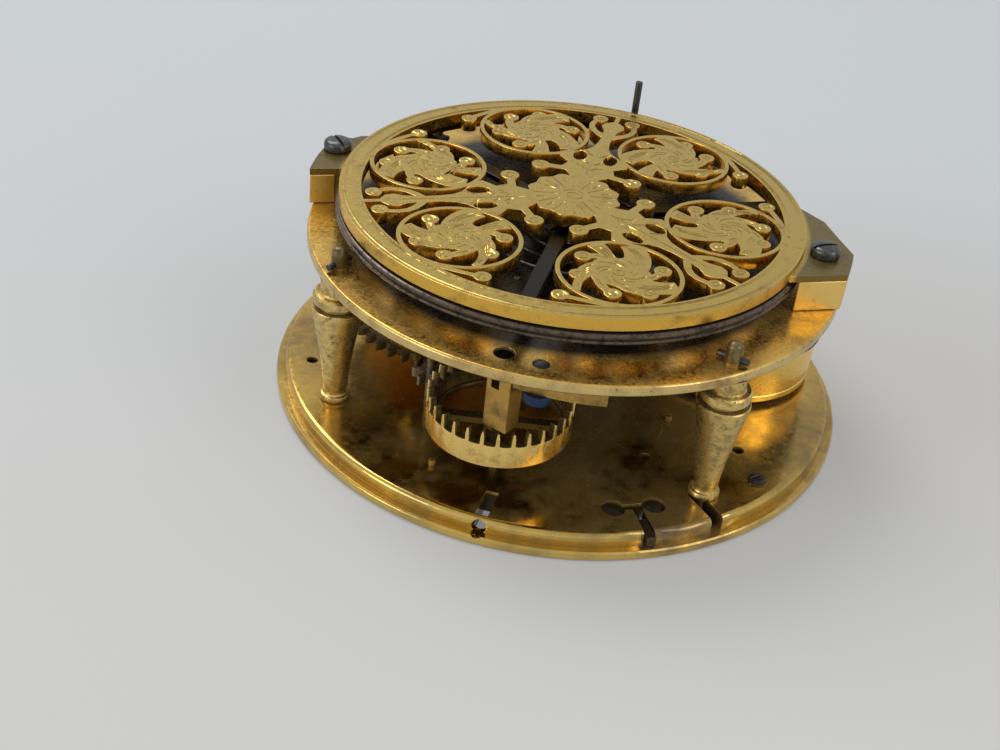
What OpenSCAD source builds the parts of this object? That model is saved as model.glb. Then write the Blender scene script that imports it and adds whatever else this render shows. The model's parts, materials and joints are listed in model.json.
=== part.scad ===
/* [Plates] */
// Radius of the pillar plate's flange
plate_r = 21; // [20:0.05:23]
// Thickness of the pillar plate
plate_t = 1.7; // [1.4:0.05:2.2]
// Thickness of the flange
flange_t = 0.7; // [0.4:0.05:0.9]
// How far the flange stands out from the plate's wall
flange_w = 0.65; // [0.4:0.05:0.9]
// Chamfer on the edges of both plates
edge_c = 0.12; // [0.05:0.01:0.2]
// Rounding of the pillar plate's upper edge
shoulder_round = 0.4; // [0.3:0.05:0.6]
// How much smaller in radius the top plate is than the flange
deck_step = 2; // [1.9:0.05:2.2]
// Thickness of the top plate
top_t = 0.8; // [0.6:0.05:1.1]
// Clear height between the plates
gap_h = 9.75; // [9.7:0.05:10.2]

/* [Pillars] */
// How far the pillars stand in from the flange's edge
pillar_inset = 3.3; // [3.2:0.05:3.5]
// Radius of a pillar at its widest
pillar_r = 1.8; // [1.5:0.05:2]
// Radius of a pillar's waist above the foot
pillar_waist_r = 0.85; // [0.7:0.05:1.1]
// Radius of the ring at a pillar's foot
pillar_foot_r = 1.05; // [1:0.05:1.4]
// Radius of the tenons at both ends of a pillar
tenon_r = 0.55; // [0.45:0.01:0.6]
// Height of a pillar's tip above the top plate
tip_h = 1.5; // [1.2:0.05:2]
// Radius of the pin through a pillar's tip
pin_r = 0.22; // [0.15:0.01:0.26]
// Length of the pin through a pillar's tip
pin_len = 2.2; // [1.6:0.1:3.4]

/* [Balance bridge] */
// Width of the bridge's ring
ring_w = 1.55; // [1.3:0.05:1.8]
// Thickness of the bridge
bridge_t = 0.9; // [0.7:0.05:1.2]
// Height of the feet, from the top plate to the bridge
rise = 2.25; // [2.2:0.05:2.8]
// How far the bridge's centre lies left of the plates' centre
bridge_off = 0.5; // [0.3:0.05:0.6]
// Direction of the right ear
bridge_turn = -12.85; // [-20:0.05:-5]
// Radius of the rosette in the middle
rosette_r = 3.2; // [2.8:0.05:3.6]
// How far a medallion's rim sinks into the ring
med_sink = 0.15; // [0.1:0.01:0.3]
// Outer radius of a medallion
med_r = 4.2; // [4.1:0.05:4.5]
// Width of a medallion's rim
med_w = 0.32; // [0.28:0.01:0.4]
// Radius of the ball at the end of a tendril
ball_r = 0.6; // [0.5:0.01:0.64]
// Width of the stalks of twigs and curls
stalk_w = 0.38; // [0.34:0.01:0.42]
// How far the ears' screws stand in from the top plate's edge
ear_inset = 1.25; // [1.2:0.05:1.4]
// How far the feet reach in from their screws
foot_in = 0.8; // [0.75:0.05:0.85]
// How far ears and feet stand out past the top plate's edge
foot_out = 0.2; // [0.1:0.05:0.4]
// Direction of the feet's front faces, against the line through the ears
foot_skew = 29; // [25:1:33]
// Radius of the ear screws' heads
ear_head_r = 1; // [0.8:0.05:1.1]
// Height of the ear screws' heads
ear_head_h = 0.8; // [0.5:0.05:0.9]
// Radius of the ear screws' threads
ear_thread_r = 0.38; // [0.3:0.01:0.4]

/* [Balance] */
// Gap between the balance and the feet
bal_side = 0.35; // [0.3:0.05:0.45]
// How far the balance stands out past the bridge's ring
bal_over = 0.2; // [0.1:0.05:0.3]
// Width of the balance's rim
bal_w = 0.9; // [0.7:0.05:1.2]
// Height of the balance's rim
bal_h = 0.75; // [0.5:0.05:0.8]
// Gap between the balance and the bridge
bal_gap = 0.15; // [0.1:0.01:0.25]
// Radius of the verge's body
verge_r = 0.35; // [0.28:0.01:0.4]
// Reach of a pallet from the verge's axis
pallet_reach = 1.05; // [0.9:0.01:1.06]
// Angle between the two pallets
pallet_angle = 100; // [80:1:110]
// Turns of the balance spring
spring_turns = 4; // [3:1:5]
// Radius of the balance spring's wire
spring_wire_r = 0.12; // [0.1:0.01:0.16]
// Radius of the balance spring's outer end
spring_out_r = 7.6; // [7:0.1:8.4]

/* [Escapement] */
// Direction of the escape wheel's arbor, seen from above
esc_dir = -101.5; // [-104:0.1:-100]
// Radius of the escape wheel
esc_r = 2.15; // [2.05:0.05:2.15]
// Thickness of the escape wheel's rim
esc_wall = 0.4; // [0.3:0.01:0.42]
// Teeth of the escape wheel
esc_teeth = 15; // [11:2:15]
// Distance of the tooth tips from the verge's axis
esc_tip = 1.15; // [1.14:0.01:1.3]
// Depth of the escape wheel, from the tooth tips to its back
esc_depth = 1.95; // [1.8:0.05:2.1]
// Leaves of the escape pinion
esc_leaves = 6; // [6:1:7]
// Height of the escape arbor's axis above the contrate wheel's tooth tips, in plan units
esc_above_u = 2.48; // [2.44:0.02:2.7]

/* [Train] */
// Module of the great wheel and the second pinion, in plan units
great_mod_u = 1.44; // [1.42:0.01:1.46]
// Teeth of the great wheel
great_teeth = 40; // [39:1:40]
// Leaves of the second pinion
second_leaves = 6; // [6:1:7]
// Module of the second wheel and the third pinion, in plan units
second_mod_u = 0.88; // [0.86:0.01:0.88]
// Teeth of the second wheel
second_teeth = 40; // [39:1:40]
// Leaves of the third pinion
third_leaves = 8; // [8:1:9]
// Module of the third wheel and the contrate pinion, in plan units
third_mod_u = 0.88; // [0.87:0.01:0.89]
// Teeth of the third wheel
third_teeth = 42; // [41:1:42]
// Leaves of the contrate pinion
contrate_leaves = 8; // [8:1:9]
// Teeth of the contrate wheel
contrate_teeth = 30; // [28:1:32]
// Outer radius of the contrate wheel, in plan units
contrate_r_u = 19.8; // [19.5:0.1:20]
// Thickness of the contrate wheel's rim
contrate_wall = 0.5; // [0.4:0.01:0.6]
// Height of the contrate wheel's rim below its teeth
contrate_rim_h = 1.65; // [1.4:0.05:1.7]
// Height of the contrate wheel's teeth
contrate_tooth_h = 1.0; // [0.9:0.01:1.05]
// Distance of the contrate arbor from the verge, along the escape arbor, in plan units
contrate_along_u = 52; // [51.6:0.1:52.4]
// Distance of the contrate arbor to the side of the escape arbor, in plan units
contrate_side_u = 3.6; // [3.4:0.1:3.8]
// Height of the contrate wheel above the pillar plate
contrate_up = 2.4; // [2.3:0.05:2.6]
// Direction of the fusee from the verge, seen from above
fusee_dir = 176.7; // [175:0.1:178]
// Distance of the fusee from the verge, in plan units
fusee_dist_u = 31.6; // [31.4:0.1:32.4]
// Direction of the second arbor, seen from the fusee
second_dir = -94.8; // [-95.4:0.1:-94.2]
// Height of the great wheel above the pillar plate
great_up = 2.25; // [2:0.05:2.3]
// Thickness of the great wheel
great_t = 0.6; // [0.5:0.05:0.65]
// Thickness of the second and third wheels
wheel_t = 0.45; // [0.35:0.01:0.48]
// Radius of the pivots in the plates
pivot_r = 0.2; // [0.15:0.01:0.24]
// Radius of the second, third and contrate arbors
arbor_r = 0.3; // [0.27:0.01:0.32]

/* [Fusee and barrel] */
// Radius of the fusee at its foot, in plan units
fusee_foot_u = 19.6; // [18.4:0.2:20.4]
// Radius of the fusee at its top, in plan units
fusee_top_u = 11.6; // [10:0.2:11.8]
// Radius of the fusee's arbor
fusee_arbor_r = 0.7; // [0.55:0.05:0.8]
// Radius of the barrel, in plan units
barrel_r_u = 26.4; // [24:0.2:26.8]
// Thickness of the barrel's wall
barrel_wall = 0.4; // [0.3:0.01:0.5]
// Place of the barrel to the right of the plates' centre, in plan units
barrel_x_u = 50.4; // [48.8:0.2:50.8]
// Place of the barrel behind the plates' centre, in plan units
barrel_y_u = 10.8; // [10:0.2:12]
// Radius of the barrel's arbor inside the barrel
barrel_arbor_r = 1.5; // [1.2:0.05:1.8]
// Turns of the mainspring
main_turns = 6; // [5:1:7]
// Thickness of the mainspring
main_t = 0.16; // [0.12:0.01:0.2]
// Width of the chain
chain_w = 0.45; // [0.36:0.01:0.46]
// Thickness of the chain
chain_t = 0.28; // [0.2:0.01:0.32]
// Turns of chain on the barrel
chain_turns = 5; // [3:1:5]
// Height of the free strand of chain above the great wheel
strand_up = 1.2; // [1.1:0.05:1.4]

/* [Clearances] */
// Running gap round a pivot
fit = 0.03; // [0.02:0.005:0.05]
// Gap between pieces that run past each other
run = 0.2; // [0.18:0.01:0.25]

/* [Hidden] */

gilt = "#c9a445";
brass = "#b8903a";
steel = "#6a6c70";
dark_steel = "#3c3d40";
blued = "#2f4f8f";
fine = 96;
mid = 48;
small = 24;
eps = 0.02;
spare = 1;

// The train is laid out in small shares of the pillar plate's radius, so that it grows with the plate
plan_units = 84;
unit = plate_r / plan_units;
top_r = plate_r - deck_step;
pillar_ring_r = plate_r - pillar_inset;
ear_screw_r = top_r - ear_inset;
bal_r = ear_screw_r - foot_in - bal_side;
bridge_r = bal_r - bal_over;
med_ring_r = bridge_r - ring_w - med_r + med_sink;
mod_great = great_mod_u * unit;
mod_second = second_mod_u * unit;
mod_third = third_mod_u * unit;
esc_above = esc_above_u * unit;
contrate_r = contrate_r_u * unit;
contrate_along = contrate_along_u * unit;
contrate_side = contrate_side_u * unit;
fusee_dist = fusee_dist_u * unit;
fusee_foot_r = fusee_foot_u * unit;
fusee_top_r = fusee_top_u * unit;
barrel_r = barrel_r_u * unit;

// Heights, from the pillar plate's lower face up
top_z = plate_t + gap_h;
deck_z = top_z + top_t;
bridge_z = deck_z + rise;
bal_z = bridge_z - bal_gap - bal_h;
under_deck = 0.65;
second_z = top_z - under_deck - wheel_t;
third_z = second_z - run - wheel_t;
great_z = plate_t + great_up;
pinion_over = 0.06;
contrate_z = plate_t + contrate_up;
contrate_rim_z = contrate_z + contrate_rim_h;
contrate_tip_z = contrate_rim_z + contrate_tooth_h;
esc_z = contrate_tip_z + esc_above;
foot_z = great_z + great_t + run;
foot_t = 0.4;
cap_t = 0.3;
stop_t = 0.3;
ratchet_t = 0.5;
lid_t = 0.4;
barrel_top_z = top_z - run - ratchet_t - run - lid_t;

// Places in plan: the verge stands at the bridge's centre, the rest follows from the meshes
staff = [-bridge_off, 0];
function polar(r, a) = [r * cos(a), r * sin(a)];
function meet(a, ra, b, rb) =
    let(d = b - a, s = norm(d), u = d / s, q = (ra * ra - rb * rb + s * s) / (2 * s))
    a + q * u + sqrt(ra * ra - q * q) * [-u.y, u.x];
esc_u = polar(1, esc_dir);
esc_left = [esc_u.y, -esc_u.x];
fusee_at = staff + polar(fusee_dist, fusee_dir);
great_reach = mod_great * (great_teeth + second_leaves) / 2;
second_reach = mod_second * (second_teeth + third_leaves) / 2;
third_reach = mod_third * (third_teeth + contrate_leaves) / 2;
second_at = fusee_at + polar(great_reach, second_dir);
contrate_at = staff + contrate_along * esc_u + contrate_side * esc_left;
third_at = meet(second_at, second_reach, contrate_at, third_reach);
barrel_at = unit * [barrel_x_u, barrel_y_u];
pillar_dirs = [-54.7, -152.3, 130, 52];
function bearing(a, b) = atan2(b.y - a.y, b.x - a.x);

// Teeth as outlines: the tooth's share of the pitch, its tip's share of the tooth, and the depths
wheel_share = 0.4;
wheel_tip = 0.35;
leaf_share = 0.3;
leaf_tip = 0.55;
wheel_add = 0.9;
wheel_ded = 1.15;
leaf_add = 0.6;
leaf_ded = 1.3;
root_flare = 1.2;
function tooth_ring(n, m, share, tip, add, ded, phase) =
    let(rp = m * n / 2, half = 180 / n * share)
    [for (i = [0 : n - 1]) let(c = phase + 360 * i / n)
        each [polar(rp - ded * m, c - half * root_flare), polar(rp, c - half),
              polar(rp + add * m, c - half * tip), polar(rp + add * m, c + half * tip),
              polar(rp, c + half), polar(rp - ded * m, c + half * root_flare)]];
module wheel_teeth(n, m, phase) {
    polygon(tooth_ring(n, m, wheel_share, wheel_tip, wheel_add, wheel_ded, phase));
}
module pinion_leaves(n, m, phase) {
    polygon(tooth_ring(n, m, leaf_share, leaf_tip, leaf_add, leaf_ded, phase));
}
module at(p, z) { translate([p.x, p.y, z]) children(); }
module tube(r, wall, h) {
    difference() {
        cylinder(r = r, h = h, $fn = fine);
        translate([0, 0, -eps]) cylinder(r = r - wall, h = h + 2 * eps, $fn = fine);
    }
}
// Sectors cut from a wheel so that arms are left
module crossings(r_in, r_out, arms, arm_w, h) {
    sweep = 360 / arms;
    for (i = [0 : arms - 1]) rotate(i * sweep) linear_extrude(h) difference() {
        intersection() {
            circle(r_out, $fn = fine);
            polygon([[0, 0], polar(2 * r_out, 0), polar(2 * r_out, sweep / 2), polar(2 * r_out, sweep)]);
        }
        circle(r_in, $fn = mid);
        translate([0, -arm_w / 2]) square([2 * r_out, arm_w]);
        rotate(sweep) translate([0, -arm_w / 2]) square([2 * r_out, arm_w]);
    }
}
rim_share = 1.9;
hub_r = 1.1;
arm_w = 0.7;
web_lip = 0.1;
module spoked_wheel(n, m, t, phase, arms) {
    rim_in = m * n / 2 - (wheel_ded + rim_share) * m;
    difference() {
        linear_extrude(t) wheel_teeth(n, m, phase);
        translate([0, 0, -eps]) crossings(hub_r, rim_in, arms, arm_w, t + 2 * eps);
        translate([0, 0, -eps]) cylinder(r = arbor_r, h = t + 2 * eps, $fn = small);
    }
}
// A vertical arbor with a pivot in each plate
pivot_in = 0.7;
module arbor(r) {
    translate([0, 0, plate_t - pivot_in]) cylinder(r = pivot_r, h = pivot_in + gap_h + top_t, $fn = small);
    translate([0, 0, plate_t + fit]) cylinder(r = r, h = gap_h - 2 * fit, $fn = small);
}
module pivot_hole(p) { at(p, -eps) cylinder(r = pivot_r + fit, h = deck_z + spare, $fn = small); }

// Pillar plate, with the openings that show on it
slot_w = 0.85;
slot_in = [3.6, 1.1];
slot_dir = -102.7;
rim_hole_r = 0.5;
rim_hole_up = 1.08;
trefoil_lobe_r = 0.8;
trefoil_lobes = unit * [[16.5, -68.9], [27.4, -65.7]];
trefoil_link_w = 0.5;
latch_dir = -71.2;
latch_w = 0.75;
latch_in = 3.4;
side_slot_dir = -57;
side_slot_w = 0.9;
side_slot_in = 3.6;
plain_holes = unit * [[25.48, -45], [52, -36.8], [-72, -16]];
plain_hole_r = 0.42;
plate_screw_at = unit * [56.2, -49.6];
plate_screw_r = 0.6;
fusee_pivot_r = 0.55;
barrel_pivot_r = 0.6;
module plate_openings() {
    h = plate_t + 2 * eps;
    translate([0, 0, -eps]) {
        rotate(slot_dir) translate([plate_r - slot_in[0], -slot_w / 2, 0])
            cube([slot_in[0] - slot_in[1], slot_w, h]);
        rotate(slot_dir) translate([plate_r - slot_in[1] - rim_hole_r, 0, rim_hole_up]) rotate([0, 90, 0])
            cylinder(r = rim_hole_r, h = slot_in[1] + spare, $fn = small);
        for (p = trefoil_lobes) at(p, 0) cylinder(r = trefoil_lobe_r, h = h, $fn = small);
        linear_extrude(h) bar(trefoil_lobes[0], trefoil_lobes[1], trefoil_link_w);
        for (g = [[latch_dir, latch_w, latch_in], [side_slot_dir, side_slot_w, side_slot_in]])
            rotate(g[0]) translate([plate_r - g[2], -g[1] / 2, flange_t + eps]) cube([g[2] + spare, g[1], h]);
        for (p = plain_holes) at(p, 0) cylinder(r = plain_hole_r, h = h, $fn = small);
        at(plate_screw_at, 0) cylinder(r = plate_screw_r, h = h, $fn = small);
        for (p = plate_pin_at) at(p, 0) cylinder(r = plate_pin_r, h = h, $fn = small);
        for (a = pillar_dirs) at(polar(pillar_ring_r, a), 0) cylinder(r = tenon_r, h = h, $fn = small);
        at(fusee_at, 0) cylinder(r = fusee_pivot_r + fit, h = h, $fn = mid);
        at(barrel_at, 0) cylinder(r = barrel_pivot_r + fit, h = h, $fn = mid);
    }
    for (p = [second_at, third_at, contrate_at]) pivot_hole(p);
}
round_steps = 4;
module pillar_plate() {
    in_r = plate_r - flange_w - shoulder_round;
    color(gilt) difference() {
        rotate_extrude($fn = fine) polygon([[0, 0], [plate_r - edge_c, 0], [plate_r, edge_c],
            [plate_r, flange_t - edge_c], [plate_r - edge_c, flange_t], [plate_r - flange_w, flange_t],
            each [for (i = [0 : round_steps]) [in_r, plate_t - shoulder_round]
                + polar(shoulder_round, 90 * i / round_steps)], [0, plate_t]]);
        plate_openings();
    }
}

// Pillars: a tapered vase on a ring, a groove and a collar under the top plate, a tenon at each end
foot_ring_h = 0.45;
waist_h = 0.9;
shoulder_h = 7.6;
groove_h = 0.3;
collar_h = 0.75;
collar_in = 0.1;
groove_in = 0.45;
neck_in = 0.6;
module pillar() {
    g0 = plate_t + shoulder_h;
    g1 = g0 + groove_h;
    g2 = g1 + collar_h;
    rotate_extrude($fn = mid) polygon([[0, 0], [tenon_r, 0], [tenon_r, plate_t], [pillar_foot_r, plate_t],
        [pillar_foot_r, plate_t + foot_ring_h], [pillar_waist_r, plate_t + waist_h],
        [pillar_r, g0 - edge_c], [pillar_r - edge_c, g0], [pillar_r - groove_in, g0],
        [pillar_r - groove_in, g1], [pillar_r - collar_in, g1 + edge_c], [pillar_r - collar_in, g2 - edge_c],
        [pillar_r - neck_in, g2], [pillar_r - neck_in, top_z], [tenon_r, top_z],
        [tenon_r, deck_z + tip_h - edge_c], [tenon_r - edge_c, deck_z + tip_h], [0, deck_z + tip_h]]);
}
tip_pin_up = 0.32;
pin_turn = 28;
module tip_pin_place(a) {
    at(polar(pillar_ring_r, a), deck_z + tip_pin_up) rotate([0, 90, a + pin_turn]) children();
}
module pillars() {
    color(gilt) for (a = pillar_dirs) difference() {
        at(polar(pillar_ring_r, a), 0) pillar();
        tip_pin_place(a) cylinder(r = pin_r, h = 4 * tenon_r, center = true, $fn = small);
    }
}
module pillar_pins() {
    color(steel) for (a = pillar_dirs)
        tip_pin_place(a) cylinder(r = pin_r, h = pin_len, center = true, $fn = small);
}

// Top plate
deck_hole_at = unit * [-16.4, -65.6];
deck_hole_r = 0.68;
counter_screw_at = unit * [-7, -68.8];
counter_thread_r = 0.55;
staff_hole_r = 1.35;
potence_screw_x = -2.5;
potence_thread_r = 0.45;
module top_plate() {
    h = top_t + 2 * eps;
    color(gilt) difference() {
        at([0, 0], top_z) rotate_extrude($fn = fine) polygon([[0, 0], [top_r - edge_c, 0], [top_r, edge_c],
            [top_r, top_t - edge_c], [top_r - edge_c, top_t], [0, top_t]]);
        translate([0, 0, top_z - eps]) {
            for (a = pillar_dirs) at(polar(pillar_ring_r, a), 0) cylinder(r = tenon_r, h = h, $fn = small);
            at(staff, 0) cylinder(r = staff_hole_r, h = h, $fn = mid);
            at(deck_hole_at, 0) cylinder(r = deck_hole_r, h = h, $fn = small);
            at(counter_screw_at, 0) cylinder(r = counter_thread_r, h = h, $fn = small);
            at(staff + potence_screw_x * esc_u, 0) cylinder(r = potence_thread_r, h = h, $fn = small);
            for (s = [0, 180]) at(staff + polar(ear_screw_r, bridge_turn + s), 0)
                cylinder(r = ear_thread_r, h = h, $fn = small);
            at(fusee_at, 0) cylinder(r = fusee_pivot_r + fit, h = h, $fn = mid);
            at(barrel_at, 0) cylinder(r = barrel_pivot_r, h = h, $fn = mid);
            at(banking_at, 0) cylinder(r = banking_r, h = h, $fn = small);
            at(stud_at, 0) cylinder(r = stud_pin_r, h = h, $fn = small);
            at(click_at, 0) cylinder(r = click_screw_r, h = h, $fn = small);
        }
        for (p = [second_at, third_at, contrate_at]) pivot_hole(p);
    }
}

// Balance bridge: a ring, a rosette and three pairs of scrolled medallions, all in one pierced plate
scallops = 12;
scallop_d = 0.15;
pairs = 3;
pair_dir = -30;
med_dir = 30;
// Right and left ear: the front edge's place at the screw, the back edge's corners, seen from the screw,
// and the direction in which the back edge meets the ring
ear_front = [-3.05, -3.65];
ear_back = [[[0.75, 2.9], [-0.45, 5]], [[1.25, -1], [0.6, 1.6], [0.3, 2.1], [-0.3, 2.2], [-0.75, 2.9]]];
ear_root_dirs = [30, 14];
foot_back = 2;
bridge_bore_r = 0.22;
stem_r = [2.6, 3.4, 4.3, 5.2, 6.0, 6.6, 7.2, 7.9, 8.6, 9.6, 10.8, 11.9, 12.7, 13.3, 13.7];
stem_w = [0.75, 1.3, 2.0, 1.7, 2.6, 2.45, 1.75, 0.95, 0.6, 0.45, 0.42, 0.55, 0.9, 0.75, 0.3];
stem_hole = [6.65, 1.15];
stem_hole_size = [0.85, 0.5];
stem_hole_sides = 12;
bud_place = [5.1, 42];
bud_stalk = [4.3, 16];
bud_r = 0.68;
bud_stalk_w = 0.6;
// Twigs hook outward from the stem, curls run along the ring: radius and angle of ball, bend and root
twig_place = [14.05, 5.2];
twig_bend = [12.2, 11.5];
twig_root = [10.6, 0];
twig_root_w = 0.6;
curl_place = [13.9, 49.5];
curl_root = [14.95, 34];
curl_root_w = 0.5;
// Flower in a medallion: its radius, the depth of its petals and their number
flower_r = 1.95;
petal_d = 0.18;
petals = 5;
// Scrolls in a medallion: start angle and radius, end angle and radius, width at both ends
leaves = [[242, 1.2, 208, 3.9, 2.1, 1.5], [338, 1.2, 303, 3.9, 1.9, 1.3], [108, 1.2, 62, 3.9, 0.8, 0.55],
          [182, 1.2, 172, 3.9, 0.5, 1.3]];
tendrils = [[188, 1.4, 143, 2.95, 0.95, 0.5], [140, 1.4, 92, 2.8, 0.95, 0.5], [80, 1.4, 27, 2.75, 0.95, 0.5],
            [20, 1.4, -22, 2.95, 0.75, 0.5], [-52, 1.4, -90, 2.95, 0.75, 0.5]];
scroll_steps = 6;
wave_steps = 6;
function wave_ring(r, d, n) =
    [for (i = [0 : n * wave_steps - 1]) let(a = 360 * i / (n * wave_steps)) polar(r + d * cos(n * a), a)];
// A bar between two points
module bar(p, q, w) {
    translate(p) rotate(bearing(p, q)) translate([0, -w / 2]) square([norm(q - p), w]);
}
// A band along a line of points, which tapers
module band(line, w0, w1) {
    n = len(line) - 1;
    aside = [for (i = [0 : n]) let(d = line[min(i + 1, n)] - line[max(i - 1, 0)])
        [-d.y, d.x] / norm(d) * (w0 + (w1 - w0) * i / n) / 2];
    polygon([each [for (i = [0 : n]) line[i] + aside[i]],
             each [for (i = [0 : n]) line[n - i] - aside[n - i]]]);
}
// A band that swings outward from one angle and radius to another
module scroll(a0, r0, a1, r1, w0, w1) {
    band([for (i = [0 : scroll_steps]) let(t = i / scroll_steps)
        polar(r0 + (r1 - r0) * t, a0 + (a1 - a0) * t)], w0, w1);
}
// Points of a smooth bow from p to q, drawn aside towards b
function bow(p, b, q) = [for (i = [0 : scroll_steps]) let(t = i / scroll_steps)
    p * (1 - t) * (1 - t) + b * 2 * t * (1 - t) + q * t * t];
// A ring with a flower in it, leaves that join the two and tendrils that end in balls
module medallion() {
    difference() {
        circle(med_r, $fn = fine);
        circle(med_r - med_w, $fn = fine);
    }
    polygon(wave_ring(flower_r, petal_d, petals));
    intersection() {
        circle(med_r - med_w / 2, $fn = fine);
        for (t = leaves) scroll(t[0], t[1], t[2], t[3], t[4], t[5]);
    }
    for (t = tendrils) {
        scroll(t[0], t[1], t[2], t[3], t[4], t[5]);
        translate(polar(t[3], t[2])) circle(ball_r, $fn = small);
    }
}
module half_pair() {
    translate(polar(med_ring_r, med_dir)) rotate(med_dir) medallion();
    translate(polar(bud_place[0], bud_place[1])) circle(bud_r, $fn = small);
    bar(polar(bud_stalk[0], bud_stalk[1]), polar(bud_place[0], bud_place[1]), bud_stalk_w);
    translate(polar(twig_place[0], twig_place[1])) circle(ball_r, $fn = small);
    band(bow(polar(twig_root[0], twig_root[1]), polar(twig_bend[0], twig_bend[1]),
             polar(twig_place[0], twig_place[1])), twig_root_w, stalk_w);
    translate(polar(curl_place[0], curl_place[1])) circle(ball_r, $fn = small);
    scroll(curl_root[1], curl_root[0], curl_place[1], curl_place[0], curl_root_w, stalk_w);
}
module pair() {
    last = len(stem_r) - 1;
    difference() {
        polygon([each [for (i = [0 : last]) [stem_r[i], -stem_w[i]]],
                 each [for (i = [0 : last]) [stem_r[last - i], stem_w[last - i]]]]);
        for (s = [-1, 1]) translate([stem_hole.x, s * stem_hole.y])
            polygon([for (i = [0 : stem_hole_sides - 1]) let(a = 360 * i / stem_hole_sides)
                [stem_hole_size.x * cos(a), stem_hole_size.y * sin(a)]]);
    }
    translate([stem_r[last] - stalk_w, -stalk_w / 2])
        square([bridge_r - ring_w / 2 - stem_r[last] + stalk_w, stalk_w]);
    half_pair();
    mirror([0, 1]) half_pair();
}
// The front edge of an ear and its foot, at a distance from the bridge's centre
function front_edge(s, out) =
    [out, ear_front[s] + (s == 0 ? 1 : -1) * (out - ear_screw_r) * tan(foot_skew)];
module ear_outline(s) {
    root_r = bridge_r - ring_w / 2;
    difference() {
        polygon([front_edge(s, root_r), front_edge(s, plate_r),
                 each [for (p = ear_back[s]) p + [ear_screw_r, 0]], polar(root_r, ear_root_dirs[s])]);
        circle(root_r, $fn = fine);
    }
}
// Both ears in plan, trimmed to just past the top plate's edge
module ears() {
    intersection() {
        for (s = [0, 1]) rotate(180 * s) mirror([0, s, 0]) ear_outline(s);
        translate(polar(bridge_off, -bridge_turn)) circle(top_r + foot_out, $fn = fine);
    }
}
ear_t = 0.5;
module balance_bridge() {
    color(gilt) at(staff, bridge_z) rotate(bridge_turn) difference() {
        union() {
            linear_extrude(bridge_t) {
                difference() {
                    circle(bridge_r, $fn = fine);
                    circle(bridge_r - ring_w, $fn = fine);
                }
                polygon(wave_ring(rosette_r, scallop_d, scallops));
                for (k = [0 : pairs - 1]) rotate(pair_dir + 360 * k / pairs) pair();
            }
            linear_extrude(ear_t) ears();
        }
        translate([0, 0, -eps]) cylinder(r = bridge_bore_r + fit, h = bridge_t / 2, $fn = small);
        for (s = [0, 180]) rotate(s) translate([ear_screw_r, 0, -eps])
            cylinder(r = ear_thread_r, h = bridge_t, $fn = small);
    }
}
module ear_place(s) { at(staff, 0) rotate(bridge_turn + s) translate([ear_screw_r, 0, 0]) children(); }
module bridge_feet() {
    color(gilt) difference() {
        at(staff, deck_z) rotate(bridge_turn) linear_extrude(rise) difference() {
            intersection() {
                ears();
                translate([-plate_r, -plate_r]) square([2 * plate_r, plate_r + foot_back]);
            }
            circle(ear_screw_r - foot_in, $fn = fine);
        }
        for (s = [0, 180]) ear_place(s) translate([0, 0, deck_z - eps])
            cylinder(r = ear_thread_r, h = rise + 2 * eps, $fn = small);
    }
}
screw_slot = 0.22;
slot_turn = 35;
module slot_cut(r) { translate([-r - eps, -screw_slot / 2, 0]) cube([2 * (r + eps), screw_slot, spare]); }
module bridge_screws() {
    color(dark_steel) for (s = [0, 180]) ear_place(s) difference() {
        union() {
            translate([0, 0, top_z + eps])
                cylinder(r = ear_thread_r, h = bridge_z + ear_t - top_z, $fn = small);
            translate([0, 0, bridge_z + ear_t]) cylinder(r = ear_head_r, h = ear_head_h, $fn = mid);
        }
        translate([0, 0, bridge_z + ear_t + ear_head_h - screw_slot]) rotate(slot_turn) slot_cut(ear_head_r);
    }
}

// Balance, verge and spring
bal_arms = 3;
bal_arm_w = 1.1;
bal_hub_r = 1.6;
bal_arm_h = 0.45;
bal_groove = 0.12;
module balance_wheel() {
    rim_in = bal_r - bal_w;
    color(dark_steel) at(staff, bal_z) {
        rotate_extrude($fn = fine) polygon([[rim_in, 0], [bal_r, 0], [bal_r, bal_h / 3],
            [bal_r - bal_groove, bal_h / 2], [bal_r, bal_h * 2 / 3], [bal_r, bal_h], [rim_in, bal_h]]);
        difference() {
            union() {
                cylinder(r = bal_hub_r, h = bal_arm_h, $fn = mid);
                for (i = [0 : bal_arms - 1]) rotate(esc_dir + 360 * i / bal_arms)
                    translate([0, -bal_arm_w / 2, 0]) cube([rim_in + bal_w / 2, bal_arm_w, bal_arm_h]);
            }
            translate([0, 0, -eps]) cylinder(r = verge_r, h = bal_h, $fn = small);
        }
    }
}
pallet_t = 0.25;
pallet_h = 0.6;
verge_pivot_r = 0.2;
collet_r = 1;
collet_h = 0.5;
spring_up = 0.7;
spring_z = deck_z + spring_up;
module pallet(a, z) {
    rotate(a) translate([0, -pallet_t / 2, z]) cube([pallet_reach, pallet_t, pallet_h]);
}
module verge_staff() {
    low = foot_z + foot_t + fit;
    high = bridge_z - fit;
    color(steel) at(staff, 0) {
        translate([0, 0, low]) cylinder(r = verge_r, h = high - low, $fn = small);
        translate([0, 0, foot_z + fit]) cylinder(r = verge_pivot_r, h = low - foot_z, $fn = small);
        translate([0, 0, high - eps]) cylinder(r = verge_pivot_r, h = bridge_t / 2 - fit, $fn = small);
        pallet(esc_dir + pallet_angle / 2, esc_z + esc_r - pallet_h);
        pallet(esc_dir - pallet_angle / 2, esc_z - esc_r);
    }
}
module spring_collet() {
    color(brass) at(staff, spring_z - collet_h / 2) difference() {
        cylinder(r = collet_r, h = collet_h, $fn = mid);
        translate([0, 0, -eps]) cylinder(r = verge_r, h = collet_h + 2 * eps, $fn = small);
    }
}
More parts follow.
